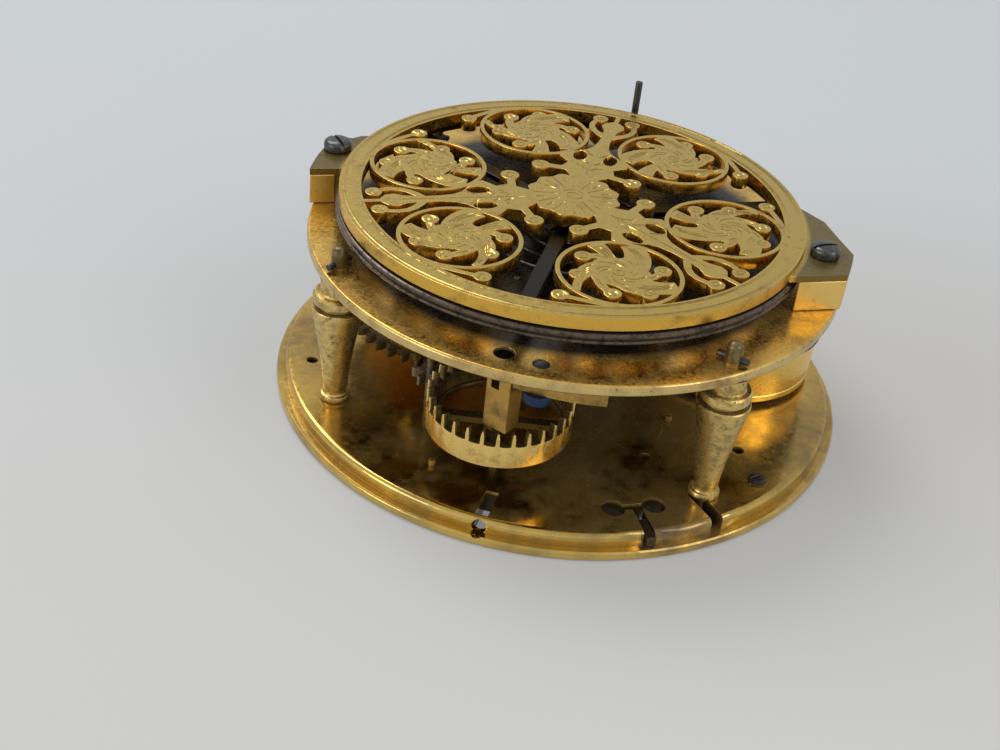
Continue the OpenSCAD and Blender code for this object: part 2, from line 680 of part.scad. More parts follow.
// A flat spiral tube: rings of a few sides along the centre line
spring_rings = 24;
spring_sides = 6;
spring_clear = 0.1;
spring_in_r = collet_r + spring_wire_r + spring_clear;
spring_end_dir = 60;
function tube_points(path, r, sides, squash) =
    [for (i = [0 : len(path) - 1])
        let(a = path[max(i - 1, 0)], b = path[min(i + 1, len(path) - 1)], d = (b - a) / norm(b - a),
            n = [d.y, -d.x, 0] / norm([d.x, d.y, 0]), up = cross(n, d))
        for (k = [0 : sides - 1]) let(w = 360 * (k + 0.5) / sides)
            path[i] + r * cos(w) * n + r * squash * sin(w) * up];
function tube_faces(rings, sides) =
    [each [for (i = [0 : rings - 2]) for (k = [0 : sides - 1]) let(q = (k + 1) % sides)
        each [[i * sides + k, (i + 1) * sides + q, i * sides + q],
              [i * sides + k, (i + 1) * sides + k, (i + 1) * sides + q]]],
     each [for (k = [1 : sides - 2]) [0, k, k + 1]],
     each [for (k = [1 : sides - 2]) let(o = (rings - 1) * sides) [o, o + k + 1, o + k]]];
module swept_tube(path, r, sides, squash) {
    polyhedron(points = tube_points(path, r, sides, squash), faces = tube_faces(len(path), sides));
}
spring_path = [for (i = [0 : spring_turns * spring_rings])
    let(t = i / (spring_turns * spring_rings), p = polar(spring_in_r + (spring_out_r - spring_in_r) * t,
        spring_end_dir - 360 * spring_turns * (1 - t)))
    [p.x, p.y, spring_z]];
spring_gap = min([for (i = [0 : len(spring_path) - 1 - spring_rings])
    norm(spring_path[i + spring_rings] - spring_path[i])]) - 2 * spring_wire_r;
echo(balance_spring_gap = spring_gap);
module balance_spring() {
    color(steel) at(staff, 0) swept_tube(spring_path, spring_wire_r, spring_sides, 1);
}
stud_w = 0.9;
stud_pin_r = 0.3;
stud_back = 0.35;
stud_at = staff + polar(spring_out_r + stud_back, spring_end_dir);
module spring_stud() {
    color(brass) {
        at(stud_at, deck_z) rotate(spring_end_dir) difference() {
            translate([-stud_w / 2, -stud_w / 2, 0]) cube([stud_w, stud_w, spring_z - deck_z + stud_w / 2]);
            translate([-stud_back - stud_w / 2, -stud_w, spring_z - deck_z - spring_wire_r - fit])
                cube([stud_w / 2 + spring_wire_r + fit, 2 * stud_w, 2 * (spring_wire_r + fit)]);
        }
        at(stud_at, top_z + eps) cylinder(r = stud_pin_r, h = top_t, $fn = small);
    }
}

// Potence: hangs from the top plate, holds the verge's foot and the escape arbor's inner pivot
potence_back = [-3.4, -1.5];
potence_half = 1.8;
potence_arm_half = 0.7;
cheek_l = [0.9, 1.4];
nose_a = [1.35, 2];
nose_half = 0.6;
module along_escape() { at(staff, 0) rotate(esc_dir) children(); }
module along_axis(a) { at(staff, esc_z) rotate([0, 90, esc_dir]) translate([0, 0, a]) children(); }
module potence() {
    color(brass) difference() {
        along_escape() {
            translate([potence_back[0], -potence_half, foot_z])
                cube([potence_back[1] - potence_back[0], 2 * potence_half, top_z - foot_z]);
            translate([potence_back[1] - eps, -potence_arm_half, foot_z])
                cube([verge_r - potence_back[1] + potence_arm_half, 2 * potence_arm_half, foot_t]);
            translate([potence_back[1] - eps, cheek_l[0], esc_z - nose_half])
                cube([nose_a[1] - potence_back[1] + eps, cheek_l[1] - cheek_l[0], 2 * nose_half]);
            translate([nose_a[0], -nose_half, esc_z - nose_half])
                cube([nose_a[1] - nose_a[0], nose_half + cheek_l[0] + eps, 2 * nose_half]);
        }
        at(staff, foot_z - eps) cylinder(r = verge_pivot_r + fit, h = foot_t + 2 * eps, $fn = small);
        along_axis(0) cylinder(r = pivot_r + fit, h = nose_a[1] + spare, $fn = small);
        at(staff + potence_screw_x * esc_u, top_z - potence_screw_in)
            cylinder(r = potence_thread_r, h = potence_screw_in + spare, $fn = small);
    }
}
potence_screw_in = 2.5;
potence_head_r = 0.9;
potence_head_h = 0.45;
module potence_screw() {
    color(steel) at(staff + potence_screw_x * esc_u, 0) difference() {
        union() {
            translate([0, 0, top_z - potence_screw_in + eps])
                cylinder(r = potence_thread_r, h = potence_screw_in + top_t, $fn = small);
            translate([0, 0, deck_z]) cylinder(r = potence_head_r, h = potence_head_h, $fn = mid);
        }
        translate([0, 0, deck_z + potence_head_h - screw_slot]) slot_cut(potence_head_r);
    }
}

// Counter-potence: a block with a curved foot under the edge of the top plate
counter_in = [2.9, 1.5];
counter_a = [top_r - counter_in[0], top_r - counter_in[1]];
counter_turn = -22;
// Where the turned block's inner face first meets the escape arbor
counter_face = (counter_a[0] + counter_a[1]) / 2 - (counter_a[1] - counter_a[0]) / 2 / cos(counter_turn)
    - arbor_r * abs(tan(counter_turn));
esc_pivot_in = 0.8;
counter_half = 0.9;
counter_under = 0.5;
counter_foot_at = unit * [6.8, -19.2];
counter_foot_u = 54;
counter_foot_out = counter_foot_u * unit;
counter_foot_w = 2.3;
counter_foot_dirs = [-116, -86.4];
counter_foot_t = 1.1;
deck_hole_in = 1.6;
module counter_potence() {
    low = esc_z - counter_under;
    color(gilt) difference() {
        union() {
            along_escape() translate([(counter_a[0] + counter_a[1]) / 2, 0, (low + top_z) / 2])
                rotate(counter_turn)
                    cube([counter_a[1] - counter_a[0], 2 * counter_half, top_z - low], center = true);
            at(counter_foot_at, top_z - counter_foot_t) linear_extrude(counter_foot_t) intersection() {
                difference() {
                    circle(counter_foot_out, $fn = fine);
                    circle(counter_foot_out - counter_foot_w, $fn = fine);
                }
                polygon([[0, 0], polar(plate_r, counter_foot_dirs[0]), polar(plate_r, counter_foot_dirs[1])]);
            }
        }
        along_axis(counter_a[0] - spare)
            cylinder(r = pivot_r + fit, h = spare + esc_pivot_in + fit, $fn = small);
        at(counter_screw_at, top_z - counter_foot_t - eps)
            cylinder(r = counter_thread_r, h = counter_foot_t + spare, $fn = small);
        at(deck_hole_at, top_z - deck_hole_in)
            cylinder(r = deck_hole_r, h = deck_hole_in + spare, $fn = small);
    }
}
counter_head_r = 1;
counter_head_h = 0.7;
module counter_screw() {
    z0 = top_z - counter_foot_t - counter_head_h;
    color(blued) at(counter_screw_at, 0) difference() {
        union() {
            translate([0, 0, z0]) cylinder(r = counter_head_r, h = counter_head_h, $fn = mid);
            translate([0, 0, z0 + eps])
                cylinder(r = counter_thread_r, h = deck_z - z0 - 2 * eps, $fn = small);
        }
        translate([0, 0, z0 - spare + screw_slot]) slot_cut(counter_head_r);
    }
}

// Escape wheel: a cup whose saw teeth point at the verge
esc_tooth_h = 0.8;
esc_slant = 0.65;
esc_undercut = 0.1;
esc_web_t = 0.4;
esc_hub_r = 0.75;
esc_arms = 3;
module escape_wheel() {
    back = esc_tip + esc_depth;
    step = 360 / esc_teeth;
    color(brass) along_axis(0) {
        translate([0, 0, esc_tip + esc_tooth_h - eps]) tube(esc_r, esc_wall, esc_depth - esc_tooth_h + eps);
        intersection() {
            translate([0, 0, esc_tip]) tube(esc_r, esc_wall, esc_tooth_h);
            for (i = [0 : esc_teeth - 1]) rotate(i * step) rotate([90, 0, 90])
                linear_extrude(2 * esc_r) translate([0, esc_tip])
                    polygon([[0, 0], [esc_r * sin(step) * esc_slant, esc_tooth_h + eps],
                             [-esc_undercut, esc_tooth_h + eps]]);
        }
        difference() {
            translate([0, 0, back - esc_web_t]) cylinder(r = esc_r - eps, h = esc_web_t, $fn = fine);
            translate([0, 0, back - esc_web_t - eps])
                crossings(esc_hub_r, esc_r - esc_wall - web_lip, esc_arms, arm_w, esc_web_t + 2 * eps);
            translate([0, 0, back - spare]) cylinder(r = arbor_r, h = 2 * spare, $fn = small);
        }
    }
}
// Escape arbor, with the pinion over the near side of the contrate wheel
esc_pinion_w = 1;
contrate_mid_r = contrate_r - contrate_wall / 2;
contrate_pitch = 360 / contrate_teeth;
esc_pitch_r = contrate_mid_r * esc_leaves / contrate_teeth;
esc_mod = 2 * esc_pitch_r / esc_leaves;
esc_pinion_a = contrate_along - sqrt(contrate_mid_r * contrate_mid_r - contrate_side * contrate_side);
esc_leaf_share = 0.22;
esc_leaf_tip = 0.5;
esc_leaf_add = 0.5;
esc_leaf_ded = 1.2;
module escape_arbor() {
    shoulder = nose_a[1] + fit;
    color(steel) along_axis(0) {
        translate([0, 0, nose_a[0] + fit])
            cylinder(r = pivot_r, h = counter_a[0] + esc_pivot_in - fit - nose_a[0], $fn = small);
        translate([0, 0, shoulder]) cylinder(r = arbor_r, h = counter_face - fit - shoulder, $fn = small);
        translate([0, 0, esc_pinion_a - esc_pinion_w / 2]) linear_extrude(esc_pinion_w)
            polygon(tooth_ring(esc_leaves, esc_mod, esc_leaf_share, esc_leaf_tip, esc_leaf_add,
                               esc_leaf_ded, 180 / esc_leaves));
    }
}

// Contrate wheel: teeth stand up from the rim, one of them under the escape pinion
contrate_share = 0.27;
contrate_tip = 0.45;
wheel_arms = 4;
contrate_web_t = 0.5;
mesh_at = staff + esc_pinion_a * esc_u;
contrate_phase = bearing(contrate_at, mesh_at);
module contrate_wheel() {
    tooth_w = 2 * PI * contrate_mid_r / contrate_teeth * contrate_share;
    color(gilt) at(contrate_at, 0) {
        translate([0, 0, contrate_z]) tube(contrate_r, contrate_wall, contrate_rim_h);
        intersection() {
            translate([0, 0, contrate_rim_z - eps]) tube(contrate_r, contrate_wall, contrate_tooth_h + eps);
            for (i = [0 : contrate_teeth - 1]) rotate(contrate_phase + i * contrate_pitch) rotate([90, 0, 90])
                translate([0, contrate_rim_z, 0]) linear_extrude(2 * contrate_r)
                    polygon([[-tooth_w / 2, -2 * eps], [tooth_w / 2, -2 * eps],
                             [tooth_w / 2, contrate_tooth_h / 2],
                             [tooth_w * contrate_tip / 2, contrate_tooth_h],
                             [-tooth_w * contrate_tip / 2, contrate_tooth_h],
                             [-tooth_w / 2, contrate_tooth_h / 2]]);
        }
        difference() {
            translate([0, 0, contrate_z]) cylinder(r = contrate_r - eps, h = contrate_web_t, $fn = fine);
            translate([0, 0, contrate_z - eps])
                crossings(hub_r, contrate_r - contrate_wall - web_lip, wheel_arms, arm_w,
                          contrate_web_t + 2 * eps);
            translate([0, 0, contrate_z - eps])
                cylinder(r = arbor_r, h = contrate_web_t + 2 * eps, $fn = small);
        }
    }
}
module contrate_arbor() {
    phase = bearing(contrate_at, third_at) + 180 / contrate_leaves;
    color(steel) at(contrate_at, 0) {
        arbor(arbor_r);
        translate([0, 0, third_z - pinion_over]) linear_extrude(wheel_t + 2 * pinion_over)
            pinion_leaves(contrate_leaves, mod_third, phase);
    }
}
third_phase = bearing(third_at, contrate_at);
module third_wheel() {
    color(brass) at(third_at, third_z) spoked_wheel(third_teeth, mod_third, wheel_t, third_phase, wheel_arms);
}
module third_arbor() {
    phase = bearing(third_at, second_at) + 180 / third_leaves;
    color(steel) at(third_at, 0) {
        arbor(arbor_r);
        translate([0, 0, second_z - pinion_over]) linear_extrude(wheel_t + 2 * pinion_over)
            pinion_leaves(third_leaves, mod_second, phase);
    }
}
module second_wheel() {
    color(brass) at(second_at, second_z)
        spoked_wheel(second_teeth, mod_second, wheel_t, bearing(second_at, third_at), wheel_arms);
}
module second_arbor() {
    phase = bearing(second_at, fusee_at) + 180 / second_leaves;
    color(steel) at(second_at, 0) {
        arbor(arbor_r);
        translate([0, 0, great_z - pinion_over]) linear_extrude(great_t + 2 * pinion_over)
            pinion_leaves(second_leaves, mod_great, phase);
    }
}

// Fusee: great wheel, cone, cap and arbor turn together; the chain lies on the cone's foot
cone_z = great_z + great_t;
cone_h = top_z - run - stop_t - run - cap_t - cone_z;
cap_z = cone_z + cone_h;
square_w = 0.72;
module great_wheel() {
    color(brass) at(fusee_at, great_z) difference() {
        linear_extrude(great_t) wheel_teeth(great_teeth, mod_great, bearing(fusee_at, second_at));
        translate([0, 0, -eps]) cylinder(r = fusee_arbor_r, h = great_t + 2 * eps, $fn = mid);
    }
}
module fusee_cone() {
    color(brass) at(fusee_at, cone_z) difference() {
        cylinder(r1 = fusee_foot_r, r2 = fusee_top_r, h = cone_h, $fn = fine);
        translate([0, 0, -eps]) cylinder(r = fusee_arbor_r, h = cone_h + 2 * eps, $fn = mid);
    }
}
cap_over = 0.5;
beak_w = 0.8;
beak_dir = 225;
module fusee_cap() {
    color(steel) at(fusee_at, cap_z) difference() {
        union() {
            cylinder(r = fusee_top_r, h = cap_t, $fn = mid);
            rotate(beak_dir) translate([0, -beak_w / 2, 0]) cube([fusee_top_r + cap_over, beak_w, cap_t]);
        }
        translate([0, 0, -eps]) cylinder(r = fusee_arbor_r, h = cap_t + 2 * eps, $fn = mid);
    }
}
module fusee_arbor() {
    color(steel) at(fusee_at, 0) {
        difference() {
            translate([0, 0, fit]) cylinder(r = fusee_pivot_r, h = deck_z - 2 * fit, $fn = mid);
            for (a = [0 : 90 : 270]) rotate(a) translate([square_w / 2, -spare, -eps])
                cube([spare, 2 * spare, plate_t / 2]);
        }
        translate([0, 0, plate_t + fit]) cylinder(r = fusee_arbor_r, h = gap_h - 2 * fit, $fn = mid);
    }
}
// Chain: wound on the barrel from its top down, then straight across behind to the fusee's foot
chain_gap = 0.02;
strand_z = cone_z + strand_up;
chain_rings = 24;
chain_lift = 0.12;
// Angle between the free strand's ends and the first links on barrel and fusee
chain_slack = 10;
chain_half = chain_t / 2;
fusee_chain_r = fusee_foot_r + (fusee_top_r - fusee_foot_r) * strand_up / cone_h + chain_half + chain_lift;
barrel_chain_r = barrel_r + chain_half + 2 * chain_gap;
span = barrel_at - fusee_at;
tangent_dir = bearing([0, 0], span) + acos((fusee_chain_r - barrel_chain_r) / norm(span));
chain_pitch = (barrel_top_z - strand_z - chain_w) / chain_turns;
chain_sides = 6;
fusee_chain_turns = 1;
chain_squash = chain_w / chain_t;
ring_tight = 1 / cos(180 / chain_rings);
chain_path = [for (i = [0 : chain_turns * chain_rings])
    let(p = polar(barrel_chain_r * ring_tight, tangent_dir - chain_slack - 360 * i / chain_rings))
    [p.x, p.y, strand_z + chain_pitch * i / chain_rings]];
chain_free = min([for (i = [0 : len(chain_path) - 1 - chain_rings])
    norm(chain_path[i + chain_rings] - chain_path[i])]) - chain_w;
echo(chain_gap_between_turns = chain_free);
module chain_on_barrel() {
    color(dark_steel) at(barrel_at, 0) swept_tube(chain_path, chain_half, chain_sides, chain_squash);
}
module chain_on_fusee() {
    steps = fusee_chain_turns * chain_rings;
    drop = (strand_up - chain_w) / fusee_chain_turns;
    grow = (fusee_foot_r - fusee_top_r) / cone_h * drop;
    path = [for (i = [0 : steps])
        let(r = (fusee_chain_r + grow * i / chain_rings) * ring_tight,
            p = polar(r, tangent_dir + chain_slack + 360 * i / chain_rings))
        [p.x, p.y, strand_z - drop * i / chain_rings]];
    color(dark_steel) at(fusee_at, 0) swept_tube(path, chain_half, chain_sides, chain_squash);
}
strand_end_gap = 0.3;
module chain_strand() {
    a = barrel_at + polar(barrel_chain_r, tangent_dir);
    b = fusee_at + polar(fusee_chain_r, tangent_dir);
    length = norm(b - a) - 2 * strand_end_gap;
    color(dark_steel) at((a + b) / 2, strand_z) rotate(bearing(a, b))
        cube([length, chain_t, chain_w], center = true);
}

// Barrel, lid, arbor, mainspring and the ratchet that sets the spring up
barrel_low = 0.35;
barrel_z = plate_t + barrel_low;
barrel_floor = 0.5;
lid_lip = 0.12;
module barrel_drum() {
    h = barrel_top_z - barrel_z;
    color(gilt) at(barrel_at, barrel_z) difference() {
        cylinder(r = barrel_r, h = h, $fn = fine);
        translate([0, 0, barrel_floor]) cylinder(r = barrel_r - barrel_wall, h = h, $fn = fine);
        translate([0, 0, -eps]) cylinder(r = barrel_pivot_r + fit, h = h, $fn = mid);
    }
}
module barrel_lid() {
    color(gilt) at(barrel_at, barrel_top_z) difference() {
        cylinder(r = barrel_r + lid_lip, h = lid_t, $fn = fine);
        translate([0, 0, -eps]) cylinder(r = barrel_pivot_r + fit, h = lid_t + 2 * eps, $fn = mid);
    }
}
module barrel_arbor() {
    low = barrel_z + barrel_floor + fit;
    color(steel) at(barrel_at, 0) {
        translate([0, 0, fit]) cylinder(r = barrel_pivot_r, h = deck_z - 2 * fit, $fn = mid);
        translate([0, 0, low]) cylinder(r = barrel_arbor_r, h = barrel_top_z - fit - low, $fn = mid);
    }
}
main_steps = 24;
main_in = barrel_arbor_r + run;
main_out = barrel_r - barrel_wall - run;
module mainspring() {
    low = barrel_z + barrel_floor + run;
    n = main_turns * main_steps;
    path = [for (i = [0 : n]) [main_in + (main_out - main_in) * i / n, 360 * i / main_steps]];
    color(steel) at(barrel_at, low) linear_extrude(barrel_top_z - run - low)
        polygon([each [for (p = path) polar(p[0] + main_t / 2, p[1])],
                 each [for (i = [0 : n]) polar(path[n - i][0] - main_t / 2, path[n - i][1])]]);
}
ratchet_r = 2.1;
ratchet_teeth = 14;
ratchet_d = 0.35;
ratchet_rake = 1;
ratchet_z = barrel_top_z + lid_t + run;
click_dir = -150;
click_reach = 8;
click_at = barrel_at + polar(click_reach, click_dir);
click_screw_r = 0.4;
module setup_ratchet() {
    color(steel) at(barrel_at, ratchet_z) difference() {
        linear_extrude(ratchet_t) polygon([for (i = [0 : ratchet_teeth - 1])
            let(a = click_dir + 360 * i / ratchet_teeth)
            each [polar(ratchet_r - ratchet_d, a), polar(ratchet_r, a + ratchet_rake)]]);
        translate([0, 0, -eps]) cylinder(r = barrel_pivot_r, h = ratchet_t + 2 * eps, $fn = mid);
    }
}
click_w = 0.9;
click_nose = 0.35;
click_clear = 0.08;
module setup_click() {
    reach = click_reach - ratchet_r - click_clear;
    color(steel) at(click_at, ratchet_z) difference() {
        union() {
            cylinder(r = click_w, h = ratchet_t, $fn = mid);
            rotate(click_dir + 180) linear_extrude(ratchet_t)
                polygon([[0, -click_w / 2], [reach, -click_nose], [reach, 0], [0, click_w / 2]]);
        }
        translate([0, 0, -eps]) cylinder(r = click_screw_r + fit, h = ratchet_t + 2 * eps, $fn = small);
    }
}
click_head_h = 0.35;
module click_screw() {
    color(steel) at(click_at, 0) {
        translate([0, 0, ratchet_z]) cylinder(r = click_screw_r, h = deck_z - ratchet_z, $fn = small);
        translate([0, 0, ratchet_z - fit - click_head_h])
            cylinder(r = click_w, h = click_head_h, $fn = small);
        translate([0, 0, ratchet_z - fit - eps]) cylinder(r = click_screw_r, h = run, $fn = small);
    }
}

// Stop work: a lever under the top plate that the last turn of chain lifts into the cap's beak
stop_dir = 165;
stop_reach = 6.6;
stop_w = 0.8;
stop_axle_r = 0.25;
stop_at = fusee_at + polar(stop_reach, stop_dir);
stop_eye_r = 0.5;
stop_len = 3.3;
cheek_t = 0.4;
stop_axle_z = cap_z - run - stop_t / 2;
module stop_frame() { at(stop_at, stop_axle_z) rotate(stop_dir + 180) children(); }
module stop_lever() {
    color(steel) stop_frame() {
        difference() {
            union() {
                rotate([90, 0, 0]) cylinder(r = stop_eye_r, h = stop_w, center = true, $fn = small);
                translate([0, -stop_w / 2, -stop_t / 2]) cube([stop_len, stop_w, stop_t]);
            }
            rotate([90, 0, 0]) cylinder(r = stop_axle_r + fit, h = 2 * stop_w, center = true, $fn = small);
        }
    }
}
module stop_block() {
    inner = stop_w / 2 + 2 * fit;
    color(brass) stop_frame() {
        for (s = [-1, 1]) translate([-stop_eye_r, s > 0 ? inner : -inner - cheek_t, -stop_eye_r])
            cube([2 * stop_eye_r, cheek_t, top_z - stop_axle_z + stop_eye_r]);
        rotate([90, 0, 0]) cylinder(r = stop_axle_r, h = 2 * (inner + eps), center = true, $fn = small);
    }
}

// Small pieces on the plates
latch_t = 0.8;
latch_side = 0.06;
latch_back = 1.2;
latch_out = 0.25;
module case_latch() {
    w = latch_w - 2 * latch_side;
    color(dark_steel) rotate(latch_dir)
        translate([plate_r - latch_in + latch_back, -w / 2, flange_t + latch_side])
            cube([latch_in - latch_back - latch_out, w, latch_t]);
}
plate_screw_h = 0.25;
module plate_screw() {
    color(steel) at(plate_screw_at, 0) difference() {
        translate([0, 0, fit]) cylinder(r = plate_screw_r, h = plate_t + plate_screw_h, $fn = mid);
        translate([0, 0, plate_t + plate_screw_h + fit - screw_slot])
            rotate(slot_turn) slot_cut(plate_screw_r);
    }
}
plate_pin_at = unit * [[-32.24, -58.96], [32.56, -26]];
plate_pin_r = 0.25;
plate_pin_h = 0.4;
module plate_pins() {
    color(brass) for (p = plate_pin_at)
        at(p, fit) cylinder(r = plate_pin_r, h = plate_t + plate_pin_h, $fn = small);
}
banking_at = unit * [16.8, 69.6];
banking_r = 0.28;
banking_h = 5.1;
module banking_post() {
    color(dark_steel) at(banking_at, top_z + eps) cylinder(r = banking_r, h = top_t + banking_h, $fn = small);
}

pillar_plate();
pillars();
pillar_pins();
top_plate();
balance_bridge();
bridge_feet();
bridge_screws();
balance_wheel();
verge_staff();
spring_collet();
balance_spring();
spring_stud();
potence();
potence_screw();
counter_potence();
counter_screw();
escape_wheel();
escape_arbor();
contrate_wheel();
contrate_arbor();
third_wheel();
third_arbor();
second_wheel();
second_arbor();
great_wheel();
fusee_cone();
fusee_arbor();
fusee_cap();
chain_on_fusee();
chain_strand();
chain_on_barrel();
barrel_drum();
barrel_lid();
barrel_arbor();
mainspring();
setup_ratchet();
setup_click();
click_screw();
stop_block();
stop_lever();
case_latch();
plate_screw();
plate_pins();
banking_post();
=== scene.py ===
# %% [markdown]
# # A pocket watch movement, dressed
# The movement is an early verge watch: two gilt plates held apart by turned pillars, a train of wheels
# between them, and on top a broad balance under a pierced bridge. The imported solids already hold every
# size and every axis. This lesson gives them the surfaces, the soft edges and the engraving.

# %% Load the solids
import json
import math

import bpy
from mathutils import Matrix, Vector


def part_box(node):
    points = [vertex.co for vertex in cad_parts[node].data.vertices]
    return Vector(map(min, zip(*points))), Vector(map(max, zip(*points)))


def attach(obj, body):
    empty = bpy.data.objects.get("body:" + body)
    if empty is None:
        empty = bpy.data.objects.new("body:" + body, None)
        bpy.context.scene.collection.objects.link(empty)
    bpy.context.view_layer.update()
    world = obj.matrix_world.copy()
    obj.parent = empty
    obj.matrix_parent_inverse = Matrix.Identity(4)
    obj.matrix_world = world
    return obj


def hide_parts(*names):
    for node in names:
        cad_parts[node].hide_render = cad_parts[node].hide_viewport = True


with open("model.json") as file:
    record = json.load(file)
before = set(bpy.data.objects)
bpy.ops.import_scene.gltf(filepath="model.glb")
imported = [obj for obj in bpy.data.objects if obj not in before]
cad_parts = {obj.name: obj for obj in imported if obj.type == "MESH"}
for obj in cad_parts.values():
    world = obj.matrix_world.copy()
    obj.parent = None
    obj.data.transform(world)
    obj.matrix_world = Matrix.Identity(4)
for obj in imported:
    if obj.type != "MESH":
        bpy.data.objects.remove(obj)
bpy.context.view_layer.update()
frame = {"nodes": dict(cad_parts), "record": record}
MM = 0.001

# %% [markdown]
# The camera comes first, because every later choice is judged through it. Its place, tilt and roll were
# found by matching the rims of the plates, so they are plain numbers. The lens follows from the focal
# length in pixels and the picture's width.

# %% Camera
PICTURE_WIDTH = 1000
FOCAL_PX = 1400
SENSOR_MM = 36.0
CAMERA_PLACE = Vector((-4.21, -88.97, 59.28)) * MM
CAMERA_TILT = 2.162
CAMERA_ROLL = 0.1137

seen_from = Matrix.Rotation(CAMERA_ROLL, 3, "Z") @ Matrix.Rotation(CAMERA_TILT, 3, "X")
axes = Matrix((seen_from[0], -seen_from[1], -seen_from[2])).transposed()
camera_data = bpy.data.cameras.new("camera")
camera_data.sensor_width = SENSOR_MM
camera_data.lens = FOCAL_PX / PICTURE_WIDTH * SENSOR_MM
camera_data.clip_start = MM
camera = bpy.data.objects.new("camera", camera_data)
camera.matrix_world = Matrix.Translation(CAMERA_PLACE) @ axes.to_4x4()
bpy.context.scene.collection.objects.link(camera)
bpy.context.scene.camera = camera
bpy.context.scene.view_settings.view_transform = "Standard"
print("lens", round(camera_data.lens, 2), "mm")

# %% [markdown]
# Colours are written as they would be picked from a screen, in sRGB. Shaders work in linear light, so
# one function converts them. A second small function adds a node, sets it and links it. The short ones
# after it name the steps that come again and again, so that each material below reads as a recipe.

# %% Colour and node helpers
def linear(code):
    """A hex sRGB colour as linear RGBA."""
    parts = [int(code[i:i + 2], 16) / 255 for i in (1, 3, 5)]
    return [c / 12.92 if c <= 0.04045 else ((c + 0.055) / 1.055) ** 2.4 for c in parts] + [1.0]


def add(tree, kind, settings=None, **inputs):
    """Adds a node, sets its options, and sets or links its inputs by their names or numbers."""
    made = tree.nodes.new(kind)
    for key, value in (settings or {}).items():
        setattr(made, key, value)
    for key, value in inputs.items():
        name = key.replace("_", " ")
        socket = made.inputs[int(name[1:])] if name[0] == "n" and name[1:].isdigit() else made.inputs[name]
        if isinstance(value, bpy.types.NodeSocket):
            tree.links.new(value, socket)
        else:
            socket.default_value = value
    return made


def fresh(name):
    """An empty node material, its tree, and the object coordinates in metres."""
    material = bpy.data.materials.new(name)
    material.use_nodes = True
    tree = material.node_tree
    tree.nodes.clear()
    return material, tree, add(tree, "ShaderNodeTexCoord").outputs["Object"]


def finish_shader(tree, shader):
    add(tree, "ShaderNodeOutputMaterial", Surface=shader.outputs[0])


def ramp(tree, value, low, high, to_low=0.0, to_high=1.0):
    """Runs from one number to another while a value runs from low to high."""
    return add(tree, "ShaderNodeMapRange", Value=value, From_Min=low, From_Max=high, To_Min=to_low,
               To_Max=to_high).outputs[0]


def reckon(tree, operation, first, second=0.0):
    return add(tree, "ShaderNodeMath", {"operation": operation}, n0=first, n1=second).outputs[0]


def mixed(tree, share, under, over):
    """One colour over another, by a share."""
    return add(tree, "ShaderNodeMix", {"data_type": "RGBA"}, n0=share, n6=under, n7=over).outputs[2]


def cloudy(tree, place, size_mm, detail, rough):
    """Noise with spots of about this many millimetres."""
    return add(tree, "ShaderNodeTexNoise", Vector=place, Scale=1 / (size_mm * MM), Detail=detail,
               Roughness=rough).outputs["Fac"]


def flaw(tree, cloud, edges, share):
    """Where a noise passes a level, which sinks as the share of the flaw grows."""
    low, high = (level - drop * share for level, drop in edges)
    return ramp(tree, cloud, low, high)


WORN_FROM, WORN_TO, SMOOTHER = 0.3, 0.75, 0.08


def uneven(tree, cloud, rough, rougher):
    """Roughness that varies with a noise about a middle value."""
    return ramp(tree, cloud, WORN_FROM, WORN_TO, rough - SMOOTHER, rough + rougher)

# %% [markdown]
# Fire-gilt brass is brass under a thin coat of gold put on with mercury. New, it is a warm, slightly
# matt yellow. After centuries it is olive on flat tops, where it was touched and cleaned, and deeper on
# cut walls, where it kept its first coat. Tarnish is no metal any more: it is a dull brown skin, thickest in
# corners that no cloth reaches. So one recipe takes a colour for the tops, one for the walls and one for the
# tarnish. It reads the direction of the surface to choose between the first two. The walls' colour is mostly
# the brighter one, partly as painted light on faces that the lamps reach less; their orange-brown glow comes
# from light bounced between them. The tarnish is laid in clouds, and in corners found by ambient occlusion,
# where it is partly painted shade. Pits are black with soot. Places named for it get the same black, and
# most of them are painted shade: openings, and parts that lie under others.

# %% Gilt brass
SOFT_MM = 0.1
TOP_SKIN, WALL_SKIN, SUNK_SHARE = 0.25, 0.6, 0.9
FLAT_FROM, FLAT_TO = 0.35, 0.9
STAIN_EDGES = ((0.62, 0.3), (0.8, 0.1))
PIT_EDGES, PIT_MM = ((0.74, 0.12), (0.78, 0.08)), 0.35
CORNER_MM, CORNER_FROM, CORNER_TO, CORNER_SHARE = 0.5, 0.2, 0.75, 0.9
# Black for pits, also painted as shade into openings and under other parts.
SOOT_AND_SHADE = "#221A12"
TARNISH_METAL = 0.4
GRAIN_MM, GRAIN_ROUGHER, GRAIN_LIFT = 0.22, 0.14, 0.03


def above(tree, place, height_mm, share=1.0):
    """A share above a height, 0 below it."""
    up = add(tree, "ShaderNodeSeparateXYZ", Vector=place).outputs["Z"]
    return ramp(tree, up, height_mm * MM, (height_mm + SOFT_MM) * MM, to_high=share)


def ringed(tree, place, centre_mm, from_mm, full_mm, share=1.0):
    """0 at one distance from an upright axis, a share at another and past it."""
    level = add(tree, "ShaderNodeVectorMath", {"operation": "MULTIPLY_ADD"}, n0=place, n1=(1, 1, 0),
                n2=(-centre_mm[0] * MM, -centre_mm[1] * MM, 0)).outputs[0]
    far = add(tree, "ShaderNodeVectorMath", {"operation": "LENGTH"}, n0=level).outputs["Value"]
    return ramp(tree, far, from_mm * MM, full_mm * MM, to_high=share)


def sunk(tree, place, top_mm, wall_mm):
    """Nearly 1 in openings: below a plate's top face and well inside its wall."""
    high = above(tree, place, top_mm - TOP_SKIN)
    wide = ringed(tree, place, (0, 0), wall_mm - WALL_SKIN, wall_mm - WALL_SKIN / 2)
    return reckon(tree, "SUBTRACT", SUNK_SHARE, reckon(tree, "MAXIMUM", high, wide))


